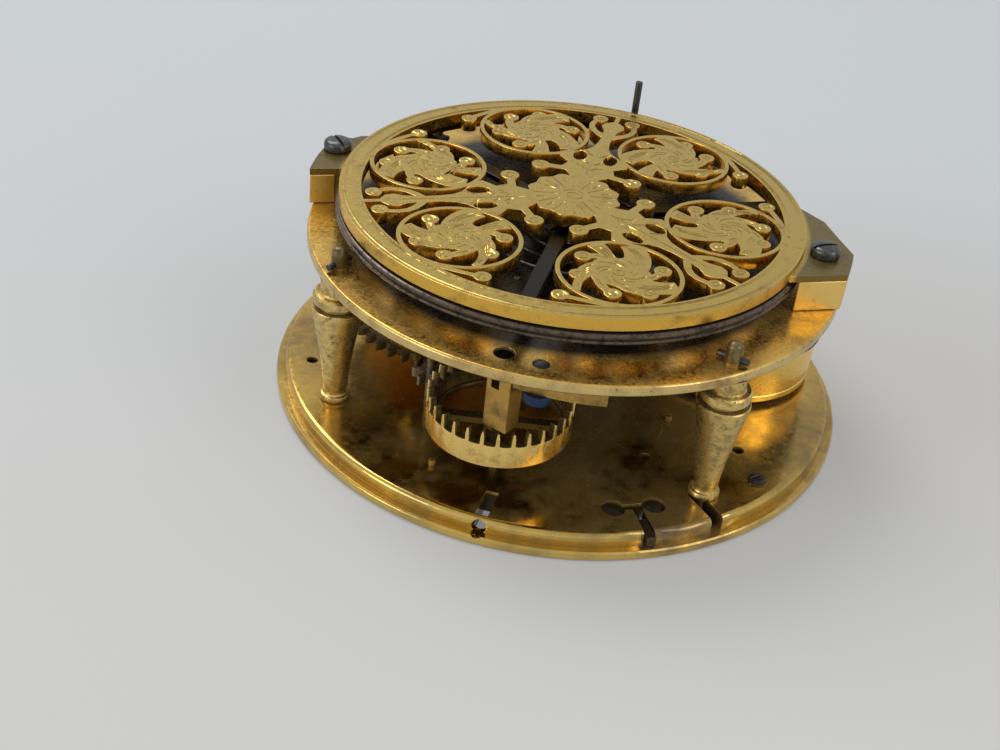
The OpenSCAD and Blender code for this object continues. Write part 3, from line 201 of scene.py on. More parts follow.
def gilding(name, tops, walls, stain, rough, stain_share, patch_mm, grain_mm=GRAIN_MM, bump=0.25, pits=0.3,
            soot_and_shade=()):
    """Old gilding, by its colours, its roughness, and how much of each flaw it has."""
    material, tree, place = fresh(name)
    normal = add(tree, "ShaderNodeTexCoord").outputs["Normal"]
    up = add(tree, "ShaderNodeSeparateXYZ", Vector=normal).outputs["Z"]
    flat = ramp(tree, reckon(tree, "ABSOLUTE", up), FLAT_FROM, FLAT_TO)
    patches = cloudy(tree, place, patch_mm, detail=7.0, rough=0.66)
    grain = cloudy(tree, place, grain_mm, detail=4.0, rough=0.6)
    specks = cloudy(tree, place, PIT_MM, detail=3.0, rough=0.7)
    # Tarnish laid in corners found by ambient occlusion: partly real tarnish, partly painted shade.
    open_sky = add(tree, "ShaderNodeAmbientOcclusion", {"samples": 6}, Distance=CORNER_MM * MM).outputs["AO"]
    corner_tarnish_and_shade = ramp(tree, open_sky, CORNER_FROM, CORNER_TO, CORNER_SHARE, 0.0)
    cover = reckon(tree, "MAXIMUM", flaw(tree, patches, STAIN_EDGES, stain_share), corner_tarnish_and_shade)
    black = flaw(tree, specks, PIT_EDGES, pits)
    # Places given for soot get the same black; most of them are painted shade, in openings and under parts.
    for where, *sizes in soot_and_shade:
        black = reckon(tree, "MAXIMUM", black, where(tree, place, *sizes))
    # The walls' colour is mostly the brighter one: partly painted light on faces that the lamps reach less.
    body = mixed(tree, flat, linear(walls), linear(tops))
    stained_and_shaded = mixed(tree, cover, body, linear(stain))
    pits_soot_and_shade = mixed(tree, black, stained_and_shaded, linear(SOOT_AND_SHADE))
    metal = ramp(tree, reckon(tree, "MAXIMUM", cover, black), 0.0, 1.0, 1.0, TARNISH_METAL)
    lift = add(tree, "ShaderNodeBump", Strength=bump, Distance=GRAIN_LIFT * MM, Height=grain)
    finish_shader(tree, add(tree, "ShaderNodeBsdfPrincipled", Base_Color=pits_soot_and_shade, Metallic=metal,
                            Roughness=uneven(tree, grain, rough, GRAIN_ROUGHER), Normal=lift.outputs[0]))
    return material


STAFF = Vector((-0.5, 0.0))
CONTRATE = Vector((-3.974, -12.560))
FUSEE = Vector((-8.387, 0.455))
PLATE_TOP, DECK_TOP = 1.7, 12.25

# Handled most, so its top is rubbed to a pale olive sheen, and the sawn walls below it glow deeper, partly as
# painted light. Its ears, past 16.8 mm from the staff, are darkened.
bridge_gilding = gilding("gilt_bridge", "#C6A95A", "#E0B450", "#84581F", rough=0.25, stain_share=0.25,
                         patch_mm=1.2, grain_mm=0.25, bump=0.2, pits=0.15,
                         soot_and_shade=[(ringed, STAFF, 16.5, 16.8, 0.75)])
# Polished flat and never touched since: a dim mirror under wide brown clouds. Its openings are painted black,
# partly dirt and partly painted shade.
plate_gilding = gilding("gilt_pillar_plate", "#CCA858", "#E6C470", "#64523A", rough=0.17, stain_share=0.62,
                        patch_mm=7.0, grain_mm=0.5, bump=0.05, pits=0.4, soot_and_shade=[(sunk, PLATE_TOP, 20.35)])
# Oil crept over it for years, so the gold shows only in patches. In its openings and under the balance it is
# painted black: partly that grime, partly painted shade from the bridge and the balance above it.
top_gilding = gilding("gilt_top_plate", "#E4BA60", "#DCC282", "#855D2F", rough=0.26, stain_share=0.55,
                      patch_mm=2.2, grain_mm=0.3, bump=0.3, pits=0.8,
                      soot_and_shade=[(sunk, DECK_TOP, 19.0), (ringed, STAFF, 16.6, 15.4)])
# Worn to bare spots by tweezers: grey-brown freckles on gold, and dark tips.
turned_gilding = gilding("gilt_pillars", "#DEC076", "#E4C67C", "#5C4A2C", rough=0.30, stain_share=0.6,
                         patch_mm=0.5, grain_mm=0.2, bump=0.5, pits=0.9, soot_and_shade=[(above, 12.3, 0.75)])
# Filed and left matt, so these blocks stay bright without a clear reflection.
foot_gilding = gilding("gilt_feet", "#F0D282", "#F0CC76", "#AC843E", rough=0.38, stain_share=0.25,
                       patch_mm=1.2)
# Drawn brass that the chain keeps clean: the brightest yellow of all.
drum_brass = gilding("barrel_brass", "#F8DA86", "#F8D272", "#B68E44", rough=0.26, stain_share=0.15,
                     patch_mm=1.8)
# Clean on the wheels' faces. The teeth are painted black as shade, for they lie deep under the top plate.
wheel_brass = gilding("wheel_brass", "#E6C674", "#F0D084", "#7C5E2E", rough=0.26, stain_share=0.3,
                      patch_mm=1.2, soot_and_shade=[(ringed, FUSEE, 6.2, 6.7, 0.85)])
# A bright hoop outside, and inside a cup painted dark: partly oxide, partly painted shade under the top
# plate, so that the teeth stand out against the dark.
cup_brass = gilding("contrate_brass", "#D0B064", "#EECC7A", "#80602E", rough=0.24, stain_share=0.25,
                    patch_mm=1.0, soot_and_shade=[(ringed, CONTRATE, 4.9, 4.8, 0.85)])
# Never gilt, and gone brown: small blocks and collars that draw no attention.
dull_brass = gilding("dull_brass", "#BC964C", "#BC964C", "#5C4622", rough=0.36, stain_share=0.6, patch_mm=1.2)

# %% [markdown]
# Hardened steel keeps the marks of its last polishing, and its bright face is broken by grey oxide. Rubbed
# arbors stay bright, the balance has gone dark with fine rust, and one screw was blued over a flame: only
# its head kept the colour.

# %% Steel
OXIDE_EDGES = ((0.65, 0.35), (0.8, 0.2))
STEEL_METAL, STEEL_BUMP, STEEL_LIFT, STEEL_ROUGHER = 0.85, 0.3, 0.02, 0.15


def steel(name, colour, oxide, rough, oxide_share=0.5, grain_mm=0.3, blued=None, rust_and_shade=None):
    """Old steel, blued below a height, and in a place all oxide colour, where these are given."""
    material, tree, place = fresh(name)
    cloud = cloudy(tree, place, grain_mm, detail=8.0, rough=0.7)
    cover = flaw(tree, cloud, OXIDE_EDGES, oxide_share)
    # On the balance this place is partly rust, partly painted shade under the bridge.
    if rust_and_shade:
        where, *sizes = rust_and_shade
        cover = reckon(tree, "MAXIMUM", cover, where(tree, place, *sizes))
    colours = mixed(tree, cover, linear(colour), linear(oxide))
    if blued:
        blue, height_mm = blued
        colours = mixed(tree, above(tree, place, height_mm), linear(blue), colours)
    lift = add(tree, "ShaderNodeBump", Strength=STEEL_BUMP, Distance=STEEL_LIFT * MM, Height=cloud)
    finish_shader(tree, add(tree, "ShaderNodeBsdfPrincipled", Base_Color=colours, Metallic=STEEL_METAL,
                            Roughness=uneven(tree, cloud, rough, STEEL_ROUGHER), Normal=lift.outputs[0]))
    return material


# Polished arbors: thin grey lines with a clear highlight.
bright_steel = steel("bright_steel", "#8E8C88", "#4A4540", rough=0.26)
# Fine rust over polish: a brown-grey hoop with long soft reflections. It is darker towards the middle:
# partly rust, partly painted shade under the bridge.
balance_steel = steel("balance_steel", "#685E54", "#241E19", rough=0.26, grain_mm=0.5,
                      rust_and_shade=(ringed, STAFF, 15.7, 15.0))
# Rust that was left alone: brown and dry.
rusty_steel = steel("rusty_steel", "#5C4C3A", "#30261C", rough=0.4)
# Oiled and blackened: chain, spring and pins read as dark lines.
black_steel = steel("black_steel", "#4E4C4A", "#262320", rough=0.36)
# Turned by many drivers: dark heads with a glint on the dome.
screw_steel = steel("screw_steel", "#5E605E", "#2A2A28", rough=0.28, oxide_share=0.6)
# The one cold colour in the movement.
blue_steel = steel("flame_blued_steel", "#5C5A56", "#33302C", rough=0.3, blued=("#2A3A5C", 11.4))

# %% [markdown]
# Every solid gets a finish, even the ones that are hidden inside. The pieces below then take the place of
# the solids that show, and each keeps its solid's body and finish.

# %% Dress every solid
FINISHES = {
    "pillar_plate": plate_gilding, "top_plate": top_gilding, "pillars": turned_gilding,
    "balance_bridge": bridge_gilding, "bridge_feet": foot_gilding, "counter_potence": dull_brass,
    "contrate_wheel": cup_brass, "escape_wheel": dull_brass, "great_wheel": wheel_brass,
    "fusee_cone": wheel_brass, "barrel_drum": drum_brass, "barrel_lid": drum_brass,
    "balance_wheel": balance_steel, "balance_spring": black_steel, "bridge_screws": screw_steel,
    "case_latch": rusty_steel, "plate_screw": black_steel, "banking_post": black_steel,
    "counter_screw": blue_steel, "chain_on_barrel": black_steel, "chain_on_fusee": black_steel,
    "chain_strand": black_steel, "pillar_pins": black_steel,
}
slot_of = {part["node"]: part["material_slot"] for part in frame["record"]["subparts"]}
body_of = {node: body for body, nodes in frame["record"]["behaviour"]["bodies"].items() for node in nodes}
for name, solid in frame["nodes"].items():
    if name not in FINISHES:
        FINISHES[name] = dull_brass if slot_of[name] in ("brass", "gilt") else bright_steel
    solid.data.materials.clear()
    solid.data.materials.append(FINISHES[name])
print("finishes:", sorted({finish.name for finish in FINISHES.values()}))


def only(piece):
    """Selects one piece alone and makes it active."""
    bpy.ops.object.select_all(action="DESELECT")
    piece.select_set(True)
    bpy.context.view_layer.objects.active = piece


def stand_in(piece, node):
    """Puts a piece in place of a solid, on the same body and with the same finish."""
    piece.data.materials.clear()
    piece.data.materials.append(FINISHES[node])
    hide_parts(node)
    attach(piece, body_of[node])
    print(piece.name, len(piece.data.polygons), "faces")

# %% [markdown]
# No edge of an old movement is sharp: files, polishing and wear have rounded all of them, and the thin
# bright line on each edge is what makes metal look like metal. A solid's mesh is loose triangles, so a copy
# is merged first, its flat faces are cleaned of needless edges, and then a bevel rounds what is left. The
# normals are weighted by area at the end, so that flat faces stay flat right up to their rounded edges.

# %% Rounded copies
MERGE = 0.0005 * MM
FLAT = math.radians(0.5)
CORNER = math.radians(32)
EDGE_STEPS = 2
WORN_EDGES = {
    "pillar_plate": 0.02, "top_plate": 0.06, "bridge_feet": 0.1, "counter_potence": 0.03,
    "counter_screw": 0.04, "case_latch": 0.06, "plate_screw": 0.05, "contrate_wheel": 0.035,
    "great_wheel": 0.04, "second_wheel": 0.03, "third_wheel": 0.03, "barrel_lid": 0.08,
    "potence": 0.06, "potence_screw": 0.06, "spring_stud": 0.05,
    "stop_block": 0.04, "stop_lever": 0.05, "fusee_cap": 0.05, "setup_ratchet": 0.03, "setup_click": 0.04,
    "plate_pins": 0.05, "banking_post": 0.05, "spring_collet": 0.05, "pillar_pins": 0.08,
}
BRIDGE_EDGE = 0.04


def settle(piece):
    """Smooth edges, sharp corners and flat faces."""
    only(piece)
    bpy.ops.object.shade_smooth_by_angle(angle=CORNER)
    even = piece.modifiers.new("even", "WEIGHTED_NORMAL")
    even.keep_sharp = True
    bpy.ops.object.modifier_apply(modifier=even.name)


def rounded(node, width_mm):
    """A copy of a solid with worn edges, in place of the solid."""
    piece = bpy.data.objects.new(node + "_worn", frame["nodes"][node].data.copy())
    bpy.context.scene.collection.objects.link(piece)
    only(piece)
    bpy.ops.object.mode_set(mode="EDIT")
    bpy.ops.mesh.select_all(action="SELECT")
    bpy.ops.mesh.remove_doubles(threshold=MERGE)
    bpy.ops.mesh.dissolve_limited(angle_limit=FLAT)
    bpy.ops.object.mode_set(mode="OBJECT")
    edge = piece.modifiers.new("edge", "BEVEL")
    edge.width = width_mm * MM
    edge.segments = EDGE_STEPS
    edge.limit_method = "ANGLE"
    edge.angle_limit = CORNER
    edge.use_clamp_overlap = False
    bpy.ops.object.modifier_apply(modifier=edge.name)
    settle(piece)
    stand_in(piece, node)
    return piece


for node, width in WORN_EDGES.items():
    rounded(node, width)

# %% [markdown]
# The bridge is the show piece: a flat plate, pierced with a saw into scrolls and then engraved. The rounded
# copy of the solid is the pierced plate. The graver's strokes are thin rods with a square section, laid
# edge-down along each line and cut out of the plate, so that every stroke is a real groove. No stroke
# closes on itself, because a closed one would cut an island loose. A place on the bridge is a radius and an
# angle, about the staff or about the middle of a medallion, so each line is two such ends and a number of
# points between them.

# %% Lines of the engraving
BRIDGE_TURN = -12.85
BRIDGE_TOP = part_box("balance_bridge")[1][2] / MM
MEDALLION_RING, MEDALLION_TURN = 10.8, 30
PAIRS = (-30, 90, 210)
CURL_POINTS, CURL_TURN, CURL_SHRINK = 12, 400, 0.6


def ray(radius, degrees):
    return Vector((math.cos(math.radians(degrees)), math.sin(math.radians(degrees)))) * radius


def on_bridge(radius, degrees):
    return STAFF + ray(radius, degrees + BRIDGE_TURN)


def in_medallion(pair, side):
    """Gives the places of one medallion, by radius and angle about its own middle."""
    facing = pair + side * MEDALLION_TURN
    centre = on_bridge(MEDALLION_RING, facing)
    return lambda radius, degrees: centre + ray(radius, facing + BRIDGE_TURN + side * degrees)


def sweep(place, start, end, count):
    """Points from one angle and radius to another, both changing evenly."""
    steps = [i / (count - 1) for i in range(count)]
    return [place(start[1] + (end[1] - start[1]) * t, start[0] + (end[0] - start[0]) * t) for t in steps]


def curl(centre, radius, start):
    """A small curl that winds inward, for the balls at the ends of the scrolls."""
    last = CURL_POINTS - 1
    return [centre + ray(radius * (1 - CURL_SHRINK * i / last), start + CURL_TURN * i / last)
            for i in range(CURL_POINTS)]


# Lines on the ring and the rosette
RING_LINES, RING_START, RING_END, RING_POINTS = (16.13, 15.98, 15.2, 15.08), 2, 358, 160
ROSETTE_EYE = ((0, 0.25), (520, 0.85), 24)
ROSETTE_PETALS, ROSETTE_TURN = 12, 15
PETAL_LINES = ((0, 1.15, 2.9, 4), (15, 2.0, 2.75, 3))
strokes = [sweep(on_bridge, (RING_START, radius), (RING_END, radius), RING_POINTS) for radius in RING_LINES]
strokes.append(sweep(on_bridge, *ROSETTE_EYE))
for k in range(ROSETTE_PETALS):
    turn = 360 * k / ROSETTE_PETALS + ROSETTE_TURN
    for aside, near, far, count in PETAL_LINES:
        strokes.append(sweep(on_bridge, (turn + aside, near), (turn + aside, far), count))

# Lines that come again with each pair of medallions, and on both of its sides
STALK_NEAR, STALK_FAR, LINE_POINTS = 3.6, 12.4, 6
FLOWER_EYE = ((0, 0.15), (500, 0.5), 16)
FLOWER_PETALS = 5
FLOWER_LINES = ((62, 0.68, 0, 1.75, 8), (84, 0.85, 40, 1.5, 6))
LEAVES = ((242, 208), (338, 303), (108, 62), (182, 172))
LEAF_LINES, LEAF_NEAR, LEAF_FAR, LEAF_CLOSING = (-7, 0, 7), 2.0, 3.5, 0.6
TENDRILS = ((188, 143, 2.95), (140, 92, 2.8), (80, 27, 2.75), (20, -22, 2.95), (-52, -90, 2.95))
TENDRIL_BACK, TENDRIL_NEAR, TENDRIL_SHORT, TENDRIL_IN = 12, 1.9, 14, 0.5
BALL = 0.38
VEINS, VEIN_START, VEIN_SLANTS, VEIN_REACH, VEIN_POINTS = (4.4, 5.4, 6.9), 2, (7, 12), 0.8, 4
BALLS = ((5.1, 42, 0.42), (14.05, 5.2, BALL), (13.9, 49.5, BALL))
for pair in PAIRS:
    strokes.append(sweep(on_bridge, (pair, STALK_NEAR), (pair, STALK_FAR), LINE_POINTS))
    for side in (1, -1):
        inside = in_medallion(pair, side)
        strokes.append(sweep(inside, *FLOWER_EYE))
        for k in range(FLOWER_PETALS):
            turn = 360 * k / FLOWER_PETALS
            for start, near, end, far, count in FLOWER_LINES:
                strokes.append(sweep(inside, (turn + start, near), (turn + end, far), count))
        for start, end in LEAVES:
            for aside in LEAF_LINES:
                strokes.append(sweep(inside, (start + aside, LEAF_NEAR),
                                     (end + aside * LEAF_CLOSING, LEAF_FAR), LINE_POINTS))
        for start, end, reach in TENDRILS:
            strokes.append(sweep(inside, (start - TENDRIL_BACK, TENDRIL_NEAR),
                                 (end + TENDRIL_SHORT, reach - TENDRIL_IN), LINE_POINTS))
            strokes.append(curl(inside(reach, end), BALL, end + 90))
        for vein in VEINS:
            for slant in VEIN_SLANTS:
                strokes.append(sweep(on_bridge, (pair + side * VEIN_START, vein),
                                     (pair + side * slant, vein + VEIN_REACH), VEIN_POINTS))
        for radius, aside, size in BALLS:
            strokes.append(curl(on_bridge(radius, pair + side * aside), size, pair))
print("graver's strokes:", len(strokes))

# %% Engraved bridge
GRAVER_LIFT, GRAVER_HALF = 0.01, 0.075


def drawn_lines(name, lines):
    """A curve of straight-sided lines through points in mm."""
    drawn = bpy.data.curves.new(name, "CURVE")
    drawn.dimensions = "3D"
    for points in lines:
        line = drawn.splines.new("POLY")
        line.points.add(len(points) - 1)
        for spot, point in zip(line.points, points):
            spot.co = [*(value * MM for value in point), 1]
    made = bpy.data.objects.new(name, drawn)
    bpy.context.scene.collection.objects.link(made)
    return made


def rods(name, lines, height_mm, half_mm, roundness=0):
    """Thin rods along level lines, as one mesh: square ones on edge, or rounder ones."""
    made = drawn_lines(name, [[(*point, height_mm) for point in line] for line in lines])
    made.data.bevel_depth = half_mm * MM
    made.data.bevel_resolution = roundness
    made.data.use_fill_caps = True
    only(made)
    bpy.ops.object.convert(target="MESH")
    return bpy.context.object


def cut(piece, cutter):
    """Takes one piece out of another, and the cutter away."""
    only(piece)
    tool = piece.modifiers.new("cut", "BOOLEAN")
    tool.operation = "DIFFERENCE"
    tool.solver = "EXACT"
    tool.use_self = True
    tool.object = cutter
    bpy.ops.object.modifier_apply(modifier=tool.name)
    bpy.data.objects.remove(cutter, do_unlink=True)
    settle(piece)


bridge = rounded("balance_bridge", BRIDGE_EDGE)
cut(bridge, rods("strokes", strokes, BRIDGE_TOP + GRAVER_LIFT, GRAVER_HALF))
print("bridge faces:", len(bridge.data.polygons))

# %% [markdown]
# Turned pieces come off a lathe, so they are made the same way here: a single point is extruded along the
# outline, and the outline is spun about the upright axis of its piece. An outline is a row of radii and
# heights, in mm. Filed pieces start as plain bars.

# %% Lathe and file
def turned(name, outline, centre, steps, closed=False):
    """Spins an outline about an upright axis."""
    bpy.ops.object.select_all(action="DESELECT")
    bpy.ops.mesh.primitive_plane_add(size=MM)
    piece = bpy.context.object
    piece.name = name
    bpy.ops.object.mode_set(mode="EDIT")
    bpy.ops.mesh.select_all(action="SELECT")
    bpy.ops.mesh.merge(type="CENTER")
    before = Vector((0, 0, 0))
    for step, (radius, height) in enumerate(outline + outline[:1] * closed):
        spot = Vector((centre[0] + radius, centre[1], height)) * MM
        if step == 0:
            bpy.ops.transform.translate(value=spot - before)
        else:
            bpy.ops.mesh.extrude_region_move(TRANSFORM_OT_translate={"value": spot - before})
        before = spot
    bpy.ops.mesh.select_all(action="SELECT")
    bpy.ops.mesh.spin(steps=steps, angle=math.tau, center=Vector((centre[0], centre[1], 0)) * MM,
                      axis=(0, 0, 1))
    bpy.ops.mesh.select_all(action="SELECT")
    bpy.ops.mesh.remove_doubles(threshold=MERGE)
    bpy.ops.mesh.normals_make_consistent(inside=False)
    bpy.ops.object.mode_set(mode="OBJECT")
    bpy.ops.object.shade_smooth_by_angle(angle=CORNER)
    return piece


def bar(middle_mm, size_mm, degrees=0.0):
    """A plain bar by its middle and its sizes, turned about the upright axis."""
    bpy.ops.object.select_all(action="DESELECT")
    bpy.ops.mesh.primitive_cube_add(size=MM, location=[value * MM for value in middle_mm],
                                    rotation=(0, 0, math.radians(degrees)))
    piece = bpy.context.object
    piece.scale = size_mm
    bpy.ops.object.transform_apply(location=True, rotation=True, scale=True)
    return piece


def soften(piece, width_mm, steps):
    """Rounds all edges of a piece."""
    only(piece)
    bpy.ops.object.mode_set(mode="EDIT")
    bpy.ops.mesh.select_all(action="SELECT")
    bpy.ops.mesh.bevel(offset=width_mm * MM, segments=steps, affect="EDGES")
    bpy.ops.object.mode_set(mode="OBJECT")


def copies(piece, shifts):
    """Repeats a piece inside its own mesh, each copy moved by a shift in mm from the first."""
    only(piece)
    bpy.ops.object.mode_set(mode="EDIT")
    bpy.ops.mesh.select_all(action="SELECT")
    before = Vector((0, 0, 0))
    for shift in shifts:
        shift = Vector(shift).to_3d() * MM
        bpy.ops.mesh.duplicate_move(TRANSFORM_OT_translate={"value": shift - before})
        before = shift
    bpy.ops.object.mode_set(mode="OBJECT")


def lifted(outline, low):
    """An outline with its heights counted from another level."""
    return [(radius, height + low) for radius, height in outline]

# %% [markdown]
# A pillar of this age is a small vase: a ring on the plate, a thin waist, a body that swells upward, and a
# groove and a collar below the top plate. Its tenon stands out above the plate, rounded over.

# %% Pillars
DECK_LOW = 11.45
PILLAR_RING, PILLAR_STEPS = 17.7, 48
PILLAR_DIRECTIONS = (-54.7, -152.3, 130, 52)
TENON = 0.55
WAIST, WAIST_HIGH = 0.86, 2.75
SWELL, SWELL_HEIGHT, SWELL_POWER, SWELL_POINTS = 0.94, 6.4, 1.35, 10
foot = [(0, 0.02), (0.53, 0.02), (TENON, 0.1), (TENON, PLATE_TOP), (1.0, PLATE_TOP),
        (1.05, PLATE_TOP + 0.08), (1.05, 2.05), (1.0, 2.15), (0.86, 2.2), (0.8, 2.3), (0.8, 2.45),
        (0.83, 2.6)]
swell = [(WAIST + SWELL * t ** SWELL_POWER, WAIST_HIGH + SWELL_HEIGHT * t)
         for t in [i / SWELL_POINTS for i in range(SWELL_POINTS + 1)]]
collar = [(1.8, 9.22), (1.74, 9.3), (1.36, 9.32), (1.33, 9.42), (1.36, 9.58), (1.6, 9.6), (1.7, 9.68),
          (1.72, 9.95), (1.7, 10.22), (1.58, 10.34), (1.3, 10.38), (1.22, 10.5), (1.2, 11.3),
          (1.26, DECK_LOW)]
tip = [(TENON, DECK_LOW), (TENON, 13.2), (0.52, 13.45), (0.42, 13.63), (0.25, 13.73), (0, 13.75)]
feet = [ray(PILLAR_RING, turn) for turn in PILLAR_DIRECTIONS]
pillars = turned("pillars_turned", foot + swell + collar + tip, feet[0], PILLAR_STEPS)
copies(pillars, [place - feet[0] for place in feet[1:]])
stand_in(pillars, "pillars")

# %% [markdown]
# The balance is a heavy steel hoop with two beads turned on its outside and three thin arms. Hoop and hub
# are spun, the arms are bars with rounded edges, and all of them are joined into one piece.

# %% Balance
BALANCE_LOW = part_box("balance_wheel")[0][2] / MM
HOOP_STEPS, HUB_STEPS = 160, 48
ARMS, ARM_DIRECTION, ARM_MIDDLE = 3, -101.5, 8.5
ARM_LENGTH, ARM_WIDTH, ARM_HEIGHT, ARM_EDGE = 14.8, 1.1, 0.45, 0.08
beads = [(15.78, 0.0), (16.45, 0.0), (16.56, 0.04), (16.6, 0.13), (16.57, 0.24), (16.46, 0.29), (16.42, 0.33),
         (16.42, 0.37), (16.46, 0.41), (16.57, 0.46), (16.6, 0.56), (16.57, 0.67), (16.48, 0.73),
         (16.36, 0.75), (15.82, 0.75), (15.7, 0.66), (15.7, 0.09)]
disc = [(0.35, 0), (1.5, 0), (1.6, 0.08), (1.6, 0.38), (1.5, ARM_HEIGHT), (0.35, ARM_HEIGHT)]
hoop = turned("balance_turned", lifted(beads, BALANCE_LOW), STAFF, HOOP_STEPS, closed=True)
pieces = [hoop, turned("hub", lifted(disc, BALANCE_LOW), STAFF, HUB_STEPS, closed=True)]
for k in range(ARMS):
    turn = ARM_DIRECTION + 360 / ARMS * k
    arm = bar((*(STAFF + ray(ARM_MIDDLE, turn)), BALANCE_LOW + ARM_HEIGHT / 2),
              (ARM_LENGTH, ARM_WIDTH, ARM_HEIGHT), turn)
    soften(arm, ARM_EDGE, EDGE_STEPS)
    pieces.append(arm)
only(hoop)
for piece in pieces:
    piece.select_set(True)
bpy.ops.object.join()
stand_in(hoop, "balance_wheel")

# %% [markdown]
# The screws that hold the bridge have tall, domed heads with a filed slot.

# %% Ear screws
EAR_RADIUS, SCREW_STEPS = 17.75, 48
HEAD_LOW = 15.0
HEAD_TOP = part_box("bridge_screws")[1][2] / MM
SHANK = 0.38
SLIT_SIZE, SLIT_LIFT, SLIT_TURNS = (3, 0.24, 1.0), 0.25, (22, 122)
dome = [(0, 11.48), (0.36, 11.48), (SHANK, 11.55), (SHANK, HEAD_LOW), (0.92, HEAD_LOW),
        (1.0, HEAD_LOW + 0.08), (1.0, HEAD_TOP - 0.36), (0.96, HEAD_TOP - 0.22), (0.84, HEAD_TOP - 0.1),
        (0.55, HEAD_TOP - 0.03), (0, HEAD_TOP)]
for number, (side, slit_turn) in enumerate(zip((0, 180), SLIT_TURNS)):
    ear = STAFF + ray(EAR_RADIUS, BRIDGE_TURN + side)
    screw = turned(f"ear_screw_{number + 1}", dome, ear, SCREW_STEPS)
    cut(screw, bar((*ear, HEAD_TOP + SLIT_LIFT), SLIT_SIZE, slit_turn))
    stand_in(screw, "bridge_screws")

# %% [markdown]
# The barrel is a plain drum, spun with a thin groove near its foot and softened rims. The fusee beside it is
# a cone with grooves for the chain. A real one has a single spiral; here each turn of it is a ring.

# %% Barrel and fusee
BARREL, BARREL_OUT, BARREL_BORE, BARREL_WALL, BARREL_FLOOR = Vector((12.6, 2.7)), 6.6, 0.63, 0.4, 0.5
BARREL_STEPS, FUSEE_STEPS = 128, 96
DRUM_GROOVE, DRUM_RIM = 0.05, 0.06
low, high = (corner[2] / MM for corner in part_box("barrel_drum"))
wall = [(BARREL_BORE, low), (BARREL_OUT - 0.15, low), (BARREL_OUT - 0.03, low + DRUM_RIM),
        (BARREL_OUT, low + 0.18), (BARREL_OUT, low + 0.5), (BARREL_OUT - DRUM_GROOVE, low + 0.55),
        (BARREL_OUT - DRUM_GROOVE, low + 0.62), (BARREL_OUT, low + 0.67), (BARREL_OUT, high - DRUM_RIM),
        (BARREL_OUT - DRUM_RIM, high), (BARREL_OUT - BARREL_WALL, high),
        (BARREL_OUT - BARREL_WALL, low + BARREL_FLOOR), (BARREL_BORE, low + BARREL_FLOOR)]
stand_in(turned("barrel_turned", wall, BARREL, BARREL_STEPS, closed=True), "barrel_drum")

FUSEE_FOOT, FUSEE_TOP, FUSEE_BORE = 4.9, 2.9, 0.7
GROOVES, GROOVE_DEPTH, GROOVE_START, GROOVE_MARGIN = 7, 0.2, 0.3, 0.4
GROOVE_FORM = ((0.0, 0), (0.12, 0), (0.25, 0.75), (0.5, 1), (0.75, 0.75), (0.88, 0))
low, high = (corner[2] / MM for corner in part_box("fusee_cone"))
pitch = (high - low - GROOVE_MARGIN) / GROOVES
cone = [(FUSEE_BORE, low), (FUSEE_FOOT, low)]
for k in range(GROOVES):
    for part, depth in GROOVE_FORM:
        height = low + GROOVE_START + (k + part) * pitch
        share = (height - low) / (high - low)
        cone.append((FUSEE_FOOT + (FUSEE_TOP - FUSEE_FOOT) * share - depth * GROOVE_DEPTH, height))
cone += [(FUSEE_TOP, high), (FUSEE_BORE, high)]
stand_in(turned("fusee_turned", cone, FUSEE, FUSEE_STEPS, closed=True), "fusee_cone")

# %% [markdown]
# The chain that joins them is the finest work in the movement: punched steel plates, three deep, riveted
# like a bicycle chain. One link of two outer plates and an inner one is made from bars with rounded edges.
# An array repeats it, and a curve modifier lays the row along the chain's path.

# %% Chain
LINK = 1.0
LINK_PLATE = (0.86 * LINK, 0.26, 0.13)
LINK_MIDDLE, LINK_LAYER, LINK_EDGE = 0.45 * LINK, 0.145, 0.04
link = bar((LINK_MIDDLE, 0, LINK_LAYER), LINK_PLATE)
soften(link, LINK_EDGE, 1)
copies(link, [(0, 0, -2 * LINK_LAYER), (LINK / 2, 0, -LINK_LAYER)])


def chain(node, path):
    """Links along a path of points in mm, in place of a solid."""
    guide = drawn_lines("path", [path])
    guide.data.twist_mode = "Z_UP"
    length = sum((Vector(b) - Vector(a)).length for a, b in zip(path, path[1:]))
    piece = bpy.data.objects.new(node + "_links", link.data.copy())
    bpy.context.scene.collection.objects.link(piece)
    only(piece)
    row = piece.modifiers.new("row", "ARRAY")
    row.count = int(length / LINK)
    row.use_relative_offset = False
    row.use_constant_offset = True
    row.constant_offset_displace = (LINK * MM, 0, 0)
    lay = piece.modifiers.new("lay", "CURVE")
    lay.object = guide
    bpy.ops.object.modifier_apply(modifier=row.name)
    bpy.ops.object.modifier_apply(modifier=lay.name)
    bpy.data.objects.remove(guide, do_unlink=True)
    stand_in(piece, node)


def wound(centre, radius, widening, start, winding, climb, turns):
    """A path about an upright axis. Radius and height change evenly with each turn."""
    steps = [i / TURN_POINTS for i in range(turns * TURN_POINTS + 1)]
    return [(*(centre + ray(radius + widening * t, start + 360 * winding * t)), STRAND_HIGH + climb * t)
            for t in steps]


